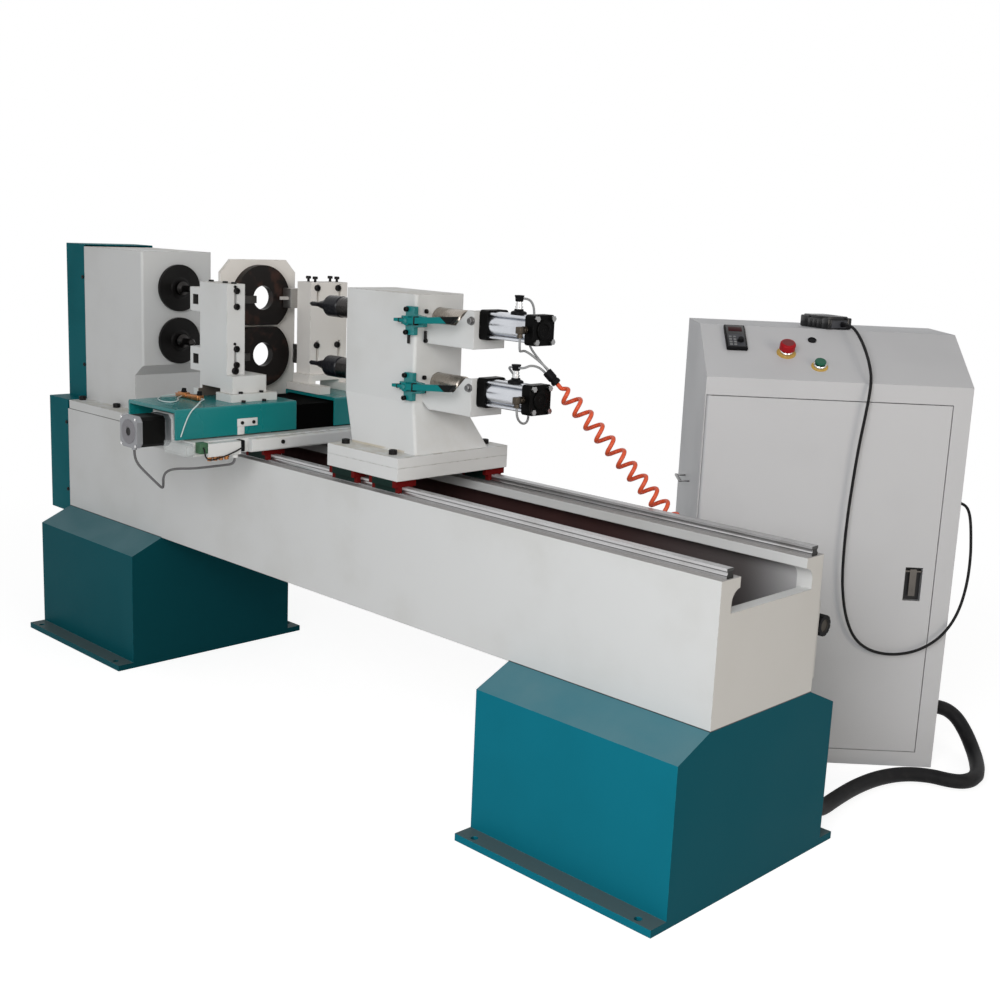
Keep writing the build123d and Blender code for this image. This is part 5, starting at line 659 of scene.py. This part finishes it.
low, high = LOW * 1000, HIGH * 1000
TUBES = {
    "upper_stem_tube": (0.24, [
        (STEM_X, 9, high + LIFT), (STEM_X, 32, high + LIFT), (STEM_X - 1, 52, high + LIFT - 14),
        (STEM_X - 3, 60, high + LIFT - 40), (STEM_X - 5, 60, high + 5), (STEM_X - 3, 52, high - 28),
        (STEM_X + 6, 34, high - 46),
    ], coupler_port(0, 1)),
    "upper_side_tube": (0.16, [
        (SIDE_X, SIDE_OUT, high - 18), (SIDE_X, SIDE_OUT, high - 36), (SIDE_X - 10, SIDE_OUT + 12, high - 52),
        (SIDE_X - 24, SIDE_OUT + 32, high - 54), (SIDE_X - 29, SIDE_OUT + 54, high - 53),
    ], coupler_port(-1, 0)),
    "lower_stem_tube": (0.08, [
        (STEM_X + 9, 0, low + LIFT), (STEM_X + 25, 0, low + LIFT), (STEM_X + 40, 10, low + LIFT + 10),
    ], coupler_port(1, 0)),
    "lower_side_tube": (0.316, [
        (STEM_X - 9, 0, low + LIFT), (STEM_X - 26, 0, low + LIFT), (STEM_X - 38, 18, low + 60),
        (STEM_X - 34, 45, low + 34), (STEM_X - 22, 56, low + 2), (STEM_X - 4, 53, low - 32),
        (STEM_X + 17, 35, low - 55), (STEM_X + 38, 5, low - 64), (SIDE_X - 12, SIDE_OUT + 31, low - 61),
        (SIDE_X, SIDE_OUT, low - 40), (SIDE_X, SIDE_OUT, low - 18),
    ], []),
}
for name, (length, route, port) in TUBES.items():
    riding_cord(
        name, "tailstock", "air_tubes", millimetres(route) + port,
        "tube_plastic", AIR_TUBE,
    )


# Modelling helpers
def turned(name, base, axis, steps, sides=32):
    """A round piece: a disc extruded and resized along its axis, by heights and radii in millimetres."""
    steps = [(height / 1000, radius / 1000) for height, radius in steps]
    foot = Vector(base)
    height, radius = steps[0]
    bpy.ops.object.select_all(action="DESELECT")
    bpy.ops.mesh.primitive_circle_add(
        vertices=sides, radius=radius, fill_type="NGON", location=foot + axis * height,
        rotation=axis.to_track_quat("Z", "Y").to_euler(),
    )
    piece = bpy.context.object
    piece.name = name
    bpy.ops.object.mode_set(mode="EDIT")
    bpy.ops.mesh.select_all(action="SELECT")
    for next_height, next_radius in steps[1:]:
        bpy.ops.mesh.extrude_region_move(TRANSFORM_OT_translate={"value": axis * (next_height - height)})
        scale = next_radius / radius
        bpy.ops.transform.resize(value=(scale, scale, scale), center_override=foot + axis * next_height)
        height, radius = next_height, next_radius
    bpy.ops.mesh.select_all(action="SELECT")
    bpy.ops.mesh.normals_make_consistent(inside=False)
    bpy.ops.object.mode_set(mode="OBJECT")
    bpy.ops.object.transform_apply(location=True, rotation=True, scale=True)
    return piece


def hollowed(piece, cutter):
    """A piece with another piece's shape cut out of it."""
    pick(piece)
    bpy.ops.object.modifier_add(type="BOOLEAN")
    cut = piece.modifiers[-1]
    cut.operation = "DIFFERENCE"
    cut.object = cutter
    bpy.ops.object.modifier_apply(modifier=cut.name)
    bpy.data.objects.remove(cutter)
    return piece


def block(name, near, far, soften):
    """A block between two corners with rounded edges."""
    near, far = Vector(near), Vector(far)
    bpy.ops.object.select_all(action="DESELECT")
    bpy.ops.mesh.primitive_cube_add(size=1.0, location=(near + far) / 2)
    piece = bpy.context.object
    piece.name = name
    piece.scale = far - near
    bpy.ops.object.transform_apply(location=True, rotation=True, scale=True)
    bpy.ops.object.mode_set(mode="EDIT")
    bpy.ops.mesh.select_all(action="SELECT")
    bpy.ops.mesh.bevel(offset=soften, segments=2, affect="EDGES")
    bpy.ops.object.mode_set(mode="OBJECT")
    return piece


def standing(point, direction=UP):
    """A place at a point, with Z along a direction."""
    return Matrix.Translation(point) @ direction.to_track_quat("Z", "Y").to_matrix().to_4x4()


def grid(xs, ys, zs, direction=UP):
    """Places at every meeting of these coordinates."""
    return [standing((x, y, z), direction) for x in xs for y in ys for z in zs]


def joined(name, pieces):
    """Several pieces made one."""
    pick(*pieces)
    bpy.ops.object.join()
    pieces[0].name = name
    return pieces[0]


def spread(piece, places):
    """Copies of a modelled piece at several places, made one piece."""
    name = piece.name
    copies = []
    for place in places:
        copy = piece.copy()
        copy.data = piece.data.copy()
        copy.data.transform(place)
        bpy.context.collection.objects.link(copy)
        copies.append(copy)
    bpy.data.objects.remove(piece)
    return joined(name, copies)


def settle(piece, body, finish, place=None):
    """Fix a finished piece in its place, with its finish, on the body that carries it."""
    pick(piece)
    if place:
        piece.data.transform(place)
    bpy.ops.object.shade_smooth_by_angle(angle=radians(32))
    wear(piece.data, finish)
    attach(piece, body)
    return piece


def studs(name, body, finish, places, steps, sides):
    """The same turned fitting at several places."""
    settle(spread(turned(name, ORIGIN, UP, steps, sides), places), body, finish)


def socket_screws(name, body, radius, places, rise=1.1, finish="screw_black"):
    """Socket head screws with a chamfered rim and a radius in millimetres, each standing at a place."""
    top = radius * rise
    rim = [(0.0, radius), (top * 0.86, radius), (top, radius * 0.88)]
    socket = [(top, radius * 0.56), (top * 0.45, radius * 0.5)]
    studs(name, body, finish, places, rim + socket, 16)


def blocks(name, boxes, soften):
    """Several rounded blocks made one piece."""
    return joined(name, [block("part", near, far, soften) for near, far in boxes])


# Screws of the headstock and its covers
FLANGE_TOP = 0.778
flange_places = grid([-1.321], (-0.156, 0.156), [FLANGE_TOP]) + grid([-1.111], (-0.148, 0.148), [FLANGE_TOP])
socket_screws("headstock_screws", "base", 12, flange_places)
cover_places = []
for x, y, heights in ((-1.349, 0.13, (0.895, 1.19)), (-1.359, 0.195, (0.467, 0.7))):
    cover_places += grid([x], [-y], heights, FRONT) + grid([x], [y], heights, BACK)
socket_screws("cover_screws", "base", 6, cover_places, 0.7)

# Rail screws under their plastic caps
RAIL_CAP = [(-1, 5.6), (0.3, 5.6), (0.3, 4.4), (0.1, 4.2)]
RAIL_TOP, RAIL_ROWS = 0.757, (-0.162, 0.162)
CAP_START, CAP_PITCH, CAP_COUNT = -0.97, 0.06, 39
cap_places = grid([CAP_START + CAP_PITCH * step for step in range(CAP_COUNT)], RAIL_ROWS, [RAIL_TOP])
studs("rail_caps", "base", "rail_steel", cap_places, RAIL_CAP, 12)

# Tailstock flange and saddle strip screws
PLATE_TOP = 0.835
tail_flange = grid([0.1], (-0.162, 0.162), [PLATE_TOP]) + grid([0.296], (-0.166, 0.166), [PLATE_TOP])
socket_screws("tail_flange_screws", "tailstock", 11, tail_flange)
socket_screws("saddle_strip_screw", "carriage", 6, [standing((-0.19, -0.154, 0.797), RIGHT)], 0.7)

# Front tool post: bolts on top, along the slots, and round the foot
POST_FACE, POST_TOP, SHOE_ROWS = -0.325, 1.229, (-0.227, -0.157)
post_tops = grid((-0.448, -0.378, -0.336), [-0.22], [POST_TOP])
post_slots = grid([POST_FACE], [-0.219], (1.0025, 1.0477, 1.166, 1.21), RIGHT)
set_places = grid([POST_FACE], [-0.224], (1.062, 1.2215), RIGHT)
foot_place = grid([POST_FACE], [-0.2237], [0.986], RIGHT)
shoe_places = grid([-0.29], SHOE_ROWS, [0.925]) + grid([-0.276], SHOE_ROWS, [0.902])
socket_screws("front_post_screws", "front_cross", 8, post_tops, 0.62)
socket_screws("front_slot_screws", "front_cross", 9, post_slots, 0.8)
socket_screws("front_set_screws", "front_cross", 4, set_places, 0.7)
socket_screws("front_foot_bolt", "front_cross", 10, foot_place, 0.8)
socket_screws("front_shoe_screws", "front_cross", 6, shoe_places, 1.0)

# Rear tool post: raised bolts on top, and bolts along its slots
RAISED_BOLT = [(0, 4), (9, 4), (9, 8), (15.5, 8), (17, 7), (17, 4.5), (12.5, 4)]
rear_tops = grid((-0.444, -0.411), (0.1235, 0.2065), [POST_TOP])
studs("rear_post_bolts", "rear_cross", "screw_black", rear_tops, RAISED_BOLT, 16)
rear_slots = grid([-0.395], (0.118, 0.197), (1.0405, 1.2125), RIGHT)
socket_screws("rear_slot_screws", "rear_cross", 9.5, rear_slots, 0.8)

# White trip bracket on the front slide, with its two screws
TRIP_BACK, TRIP_FACE = -0.2397, -0.2365
trip_bracket = blocks("trip_bracket", [
    ((TRIP_BACK, -0.274, 0.8415), (TRIP_FACE, -0.207, 0.864)),
    ((TRIP_BACK, -0.273, 0.819), (TRIP_FACE, -0.251, 0.843)),
], 0.0006)
settle(trip_bracket, "front_cross", "white_enamel")
socket_screws("trip_screws", "front_cross", 5, grid([TRIP_FACE], (-0.259, -0.221), [0.852], RIGHT), 0.6)

# Oil manifold on the front slide: a stepped brass bar with two capped ports, and its tubes
manifold = blocks("oil_manifold", [
    ((-0.48, -0.3215, 0.902), (-0.351, -0.3075, 0.9125)),
    ((-0.462, -0.3245, 0.903), (-0.424, -0.3055, 0.918)),
    ((-0.416, -0.3235, 0.903), (-0.396, -0.3065, 0.9155)),
    ((-0.388, -0.328, 0.903), (-0.354, -0.3055, 0.918)),
], 0.0022)
settle(manifold, "front_cross", "oily_brass")
OIL_CAP = [(-0.5, 8), (3, 8), (4, 7), (10, 6.5), (11, 5.5), (11, 2)]
cap_places = grid((-0.442, -0.363), [-0.315], [0.918])
studs("oil_caps", "front_cross", "dark_plastic", cap_places, OIL_CAP, 16)
OIL_TUBE = 0.0038
OIL_TUBES = {
    "oil_feed_tube": (0.249, [
        (-352, -317, 909), (-330, -322, 911), (-285, -350, 917), (-248, -386, 920), (-237, -402, 912),
        (-236.5, -427, 894), (-236.5, -446, 856), (-236.5, -456, 828),
    ]),
    "oil_loop_tube": (0.303, [
        (-478, -321, 907), (-484, -350, 904.5), (-462, -386, 904.5), (-420, -414, 904.5), (-374, -422, 904.5),
        (-356, -402, 904.5), (-384, -368, 904.5), (-428, -348, 904.5), (-442, -322, 907),
    ]),
}
for name, (length, route) in OIL_TUBES.items():
    riding_cord(
        name, "front_cross", None, millimetres(route),
        "pale_tube", OIL_TUBE,
    )

# Limit switch on the saddle: terminal, end cap, brass glands below and a clear cover beside it
terminal = blocks("switch_terminal", [
    ((-0.21, -0.428, 0.786), (-0.185, -0.404, 0.815)),
    ((-0.187, -0.4255, 0.792), (-0.1835, -0.4185, 0.8)),
    ((-0.187, -0.4135, 0.792), (-0.1835, -0.4065, 0.8)),
    ((-0.187, -0.4255, 0.804), (-0.1835, -0.4065, 0.8115)),
], 0.0007)
settle(terminal, "carriage", "terminal_green")
switch_end = block("switch_end_cap", (-0.2105, -0.2985, 0.7815), (-0.1845, -0.285, 0.813), 0.0025)
settle(switch_end, "carriage", "dark_plastic")
SWITCH_GLAND = [(-1, 8.2), (5, 8.2), (5, 6.4), (11, 6.4), (12, 5.2), (12, 2.5)]
gland_places = grid([-0.194], (-0.394, -0.376, -0.358, -0.34), [0.7752], DOWN)
studs("switch_glands", "carriage", "oily_brass", gland_places, SWITCH_GLAND, 12)
clear_cover = blocks("clear_cover", [
    ((-0.3, -0.47, 0.78), (-0.195, -0.4365, 0.812)),
    ((-0.196, -0.466, 0.784), (-0.193, -0.44, 0.808)),
], 0.002)
settle(clear_cover, "carriage", "clear_plastic")
WIRE_ROUTE = [
    (-186, -418.7, 803), (-180, -419, 800), (-179, -418, 784), (-180, -411, 772), (-180, -396, 767),
    (-180, -362, 773), (-180, -325, 783), (-181, -306, 790), (-186, -292, 793),
]
riding_cord(
    "switch_wire", "carriage", None, millimetres(WIRE_ROUTE),
    "cable_jacket", 0.004,
)

# Feed motor: round rear cap, its shaft plug and corner screws
MOTOR_X, MOTOR_Y, MOTOR_Z, MOTOR_CORNER = -0.36, -0.541, 0.833, 0.036
MOTOR_REAR = (MOTOR_X, MOTOR_Y, MOTOR_Z)
REAR_CAP = [(-1, 33.5), (1, 33.5), (2, 32.5), (2, 13), (0.2, 12.5), (0.2, 2)]
SHAFT_PLUG = [(0, 11), (0.8, 11), (1, 9), (0.4, 5)]
motor_rear = turned("motor_rear_cap", MOTOR_REAR, FRONT, REAR_CAP)
settle(motor_rear, "carriage", "motor_grey")
shaft_plug = turned("motor_shaft_plug", MOTOR_REAR, FRONT, SHAFT_PLUG, 20)
settle(shaft_plug, "carriage", "screw_black")
corner_xs = (MOTOR_X - MOTOR_CORNER, MOTOR_X + MOTOR_CORNER)
corner_zs = (MOTOR_Z - MOTOR_CORNER, MOTOR_Z + MOTOR_CORNER)
motor_corners = grid(corner_xs, [MOTOR_Y], corner_zs, FRONT)
socket_screws("motor_screws", "carriage", 3.8, motor_corners, 0.5, "chrome")

# Clamps: bolts on the crosses and brackets, pins below them, and dark collars on the levers
BRACKET_FACE = -0.055
bolt_heights = [height + rise for height in LEVERS.values() for rise in (0.0285, -0.0305)]
socket_screws("clamp_bolts", "tailstock", 6.5, grid([0.2615], [-0.1], bolt_heights, FRONT), 1.3)
wall_bolts = grid([0.288], [BRACKET_FACE], (0.99, 1.026, 1.122, 1.197), FRONT)
socket_screws("bracket_wall_bolts", "tailstock", 6, wall_bolts, 1.0)
CLAMP_PIN = [(0, 3.8), (22, 3.8), (23, 3), (23, 1.5)]
pin_places = [standing((0.262, -0.0935, 1.1365), DOWN), standing((0.289, -0.0605, 1.147), DOWN)]
studs("clamp_pins", "tailstock", "screw_black", pin_places, CLAMP_PIN, 12)
GLAND_BOLT = [(0, 11), (2.5, 11), (2.5, 8), (10, 8), (11, 7), (11, 3)]
gland_places = grid([0.453], [BRACKET_FACE], (1.0178, 1.1857), FRONT)
studs("bracket_gland_bolts", "tailstock", "tooth_steel", gland_places, GLAND_BOLT, 12)
for side, height in LEVERS.items():
    collar = blocks(side + "_lever_collar", [
        ((0.301, -0.1152, height - 0.009), (0.306, -0.1, height + 0.013)),
        ((0.243, -0.1152, height - 0.0055), (0.246, -0.1, height + 0.0055)),
    ], 0.0006)
    settle(collar, side + "_lever", "screw_black")

# Cylinder rear caps: a stepped round boss and its plug
BOSS = [(-1, 24), (3, 24), (4, 22), (4, 15), (2, 14.5), (2, 6), (3, 5.5)]
for side, height in AXES.items():
    boss = turned(side + "_cylinder_boss", (0.647, 0.0, height), RIGHT, BOSS)
    settle(boss, "tailstock", "black_paint")

# Air fittings: black feet and heads on plated stems, bronze side elbows and the black coupler
STEM = [
    (44, 8.5), (49, 8.5), (49, 9.8), (53, 9.8), (53, 7.5), (57, 7.5), (57, 8.8), (60, 8.8), (60, 6.6),
    (66, 6.6),
]
FOOT = [(24, 20), (36.5, 20), (39, 18.5), (41.5, 12), (45.5, 11), (45.5, 8)]
HEAD = [(63.5, 8.5), (65.5, 10), (73.5, 10.5), (76.5, 12), (79, 12), (79.5, 6)]
BARREL_WALL = [(-30, 32.8), (30, 32.8)]
STUB = [(0, 9.2), (5, 9.2), (5, 7.5), (9, 7.5), (9, 9.8), (13, 9.8), (14, 7)]
SLEEVE = [(0, 6.6), (6, 6.6), (6, 7.6), (10, 7.6), (10.5, 4.5)]
COUPLER = [(0, 11), (2, 12), (24, 12), (25, 10.4), (29, 10.4), (30, 12.1), (38, 12.1), (40, 9), (40, 4.5)]
stem_x, side_x, side_y = STEM_X / 1000, SIDE_X / 1000, SIDE_OUT / 1000
stem_parts, black_parts, elbow_parts = [], [], []
for height in AXES.values():
    axis_point = (stem_x, 0.0, height)
    stem_parts.append(turned("stem", axis_point, UP, STEM, 24))
    foot = turned("foot", axis_point, UP, FOOT, 24)
    black_parts.append(hollowed(foot, turned("barrel_wall", axis_point, RIGHT, BARREL_WALL, 64)))
    black_parts.append(turned("head", axis_point, UP, HEAD, 24))
    elbow_low = (side_x - 0.0082, side_y - 0.009, height - 0.0085)
    elbow_high = (side_x + 0.0082, side_y + 0.0085, height + 0.0085)
    elbow_parts.append(turned("stub", (side_x, -0.0372, height), FRONT, STUB, 12))
    elbow_parts.append(block("elbow", elbow_low, elbow_high, 0.0022))
    elbow_parts.append(turned("sleeve", (side_x, side_y, height - 0.008), DOWN, SLEEVE, 16))
black_parts.append(turned("coupler", COUPLER_START, hose_axis, COUPLER, 24))
fitting_heads = settle(joined("fitting_heads", black_parts), "tailstock", "dark_plastic")
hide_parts("air_fittings")
settle(joined("fitting_stems", stem_parts), "tailstock", "chrome")
settle(joined("side_elbows", elbow_parts), "tailstock", "bronze")

# Desk controls: yellow ring plates, their collars, a plug and the keypad
STOP, START, PLUG = (0.222, 0.118, 0.0), (0.304, 0.064, 0.0), (0.3, 0.182, 0.0)
COLLAR = [(0, 17), (8, 17), (10, 15.5), (10, 10.5), (0.15, 10.3)]
DESK_PLUG = [(0, 11.5), (3, 11.5), (4, 10.5), (4, 8), (2.5, 7.6)]
yellow_rings = []
for place, size in ((STOP, 25.8), (START, 22.2)):
    steps = [(0, size), (1.5, size), (2, size - 0.5), (2, 16), (0.1, 15.5)]
    yellow_rings.append(turned("ring_plate", place, UP, steps))
settle(joined("desk_ring_plates", yellow_rings), "base", "yellow_plastic", DESK)
for name, place in (("stop_collar", STOP), ("start_collar", START)):
    settle(turned(name, place, UP, COLLAR), "base", "chrome", DESK)
settle(turned("desk_plug", PLUG, UP, DESK_PLUG), "base", "dark_plastic", DESK)
keypad_case = block("keypad", (0.062, 0.119, 0.0), (0.119, 0.226, 0.011), 0.003)
settle(keypad_case, "base", "dark_plastic", DESK)
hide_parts("panel_fittings")
for name, near, far, soften, finish in (
    ("keypad_face", (0.066, 0.123, 0.009), (0.115, 0.222, 0.012), 0.001, "gloss_black"),
    ("keypad_window", (0.072, 0.193, 0.0112), (0.109, 0.213, 0.0126), 0.0005, "display_red"),
    ("keypad_panel", (0.069, 0.125, 0.0112), (0.112, 0.178, 0.0124), 0.0005, "panel_grey"),
):
    settle(block(name, near, far, soften), "base", finish, DESK)
KEY_PITCH, KEY_FOOT = 0.0115, 0.012
key = block("keypad_keys", (-0.004, -0.0033, 0.0), (0.004, 0.0033, 0.0018), 0.0007)
key_places = [
    Matrix.Translation((0.0745 + KEY_PITCH * column, 0.1315 + KEY_PITCH * row, KEY_FOOT))
    for column in range(2) for row in range(4)
]
settle(spread(key, key_places), "base", "grey_plastic", DESK)
KNOB = [(0, 9.5), (1, 9.5), (1, 8), (9, 7.2), (10, 6), (10, 2)]
speed_knob = turned("keypad_knob", (0.1015, 0.15, KEY_FOOT), UP, KNOB)
settle(speed_knob, "base", "dark_plastic", DESK)

# Hand pendant: body, raised cover, inset end panel, corner grips and side ribs, with its cable sleeve
pendant_body = blocks("pendant_body", [
    ((-0.03, 0.001, 0.0), (0.045, 0.13, 0.0275)),
    ((-0.026, 0.008, 0.025), (0.04, 0.124, 0.0355)),
    ((0.033, -0.0008, 0.0005), (0.0465, 0.03, 0.032)),
    ((-0.0312, 0.0, 0.0005), (-0.022, 0.03, 0.03)),
    ((-0.0312, 0.096, 0.0005), (0.046, 0.131, 0.032)),
], 0.003)
settle(pendant_body, "base", "gloss_black", PENDANT)
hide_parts("pendant")
pendant_panels = blocks("pendant_panels", [
    ((-0.019, -0.0004, 0.004), (0.0305, 0.003, 0.024)),
    ((-0.021, 0.024, 0.0345), (0.035, 0.092, 0.0358)),
], 0.001)
settle(pendant_panels, "base", "panel_grey", PENDANT)
rib = block("pendant_ribs", (-0.0312, -0.007, 0.004), (-0.0285, 0.007, 0.024), 0.001)
rib_places = [Matrix.Translation((0.0, y, 0.0)) for y in (0.044, 0.064, 0.084)]
settle(spread(rib, rib_places), "base", "gloss_black", PENDANT)
CABLE_SLEEVE = [(0, 7.5), (6, 7.5), (7, 6.8), (14, 5.8), (18, 5), (19, 4.2)]
cable_sleeve = turned("pendant_sleeve", (0.016, 0.002, 0.0144), FRONT, CABLE_SLEEVE, 16)
settle(cable_sleeve, "base", "dark_plastic", PENDANT)

# Strap on the cabinet's left side
side_strap = blocks("side_strap", [
    ((-0.026, 0.19, 0.739), (0.001, 0.198, 0.743)),
    ((-0.026, 0.282, 0.739), (0.001, 0.29, 0.743)),
    ((-0.03, 0.19, 0.738), (-0.022, 0.29, 0.744)),
], 0.0008)
settle(side_strap, "base", "tooth_steel", CABINET)


# Floor, light and background
WHITE_LIGHT = (1.0, 1.0, 1.0, 1.0)
bpy.context.scene.world = bpy.data.worlds.new("studio")
studio = Nodes(bpy.context.scene.world)
ambient = studio.node("ShaderNodeBackground", {}, {"Color": WHITE_LIGHT, "Strength": 0.3})
backdrop = studio.node("ShaderNodeBackground", {}, {"Color": WHITE_LIGHT, "Strength": 1.0})
shown = studio.blend(studio.background_rays(), ambient, backdrop)
studio.feed(studio.tree.nodes["World Output"].inputs["Surface"], shown)

bpy.ops.object.select_all(action="DESELECT")
bpy.ops.mesh.primitive_plane_add(size=40.0, location=(0.0, 0.0, -0.0005))
floor = bpy.context.object
floor.name = "floor"
floor.data.materials.append(bpy.data.materials.new("floor_paint"))
paint = Nodes(floor.data.materials[0])
matt = paint.node("ShaderNodeBsdfDiffuse", {}, {"Color": (0.75, 0.75, 0.75, 1.0)})
pale = paint.node("ShaderNodeBsdfDiffuse", {}, {"Color": (0.4, 0.4, 0.4, 1.0)})
glow = paint.node("ShaderNodeEmission", {}, {"Color": WHITE_LIGHT, "Strength": 0.84})
near = paint.node("ShaderNodeAddShader", {}, {0: pale, 1: glow})
far = paint.node("ShaderNodeEmission", {}, {"Color": WHITE_LIGHT, "Strength": 1.0})
place = paint.node("ShaderNodeTexCoord", output="Object")
reach = paint.node("ShaderNodeVectorMath", {"operation": "LENGTH"}, {0: place}, 1)
seen = paint.blend(paint.rise(reach, 2.0, 3.6), near, far)
floor_look = paint.blend(paint.background_rays(), matt, seen)
paint.feed(paint.tree.nodes["Material Output"].inputs["Surface"], floor_look)


def lamp(name, place, aim, size, power, tint=(1.0, 1.0, 1.0)):
    """A large soft lamp pointed at a place."""
    light = bpy.data.lights.new(name, "AREA")
    light.size = size
    light.energy = power
    light.color = tint
    holder = bpy.data.objects.new(name, light)
    bpy.context.scene.collection.objects.link(holder)
    holder.matrix_world = standing(place, Vector(place) - Vector(aim))
    holder.visible_camera = False


lamp("key_lamp", (2.4, -3.1, 2.2), (0.6, 0.0, 0.6), 1.8, 69.0)
lamp("fill_lamp", (1.8, -4.6, 2.2), (0.0, 0.0, 0.7), 3.0, 15.0)
lamp("side_lamp", (8.0, -1.0, 2.0), (0.3, 0.1, 0.9), 3.0, 106.0, (1.0, 0.895, 0.765))

bpy.context.scene.view_settings.view_transform = "Standard"
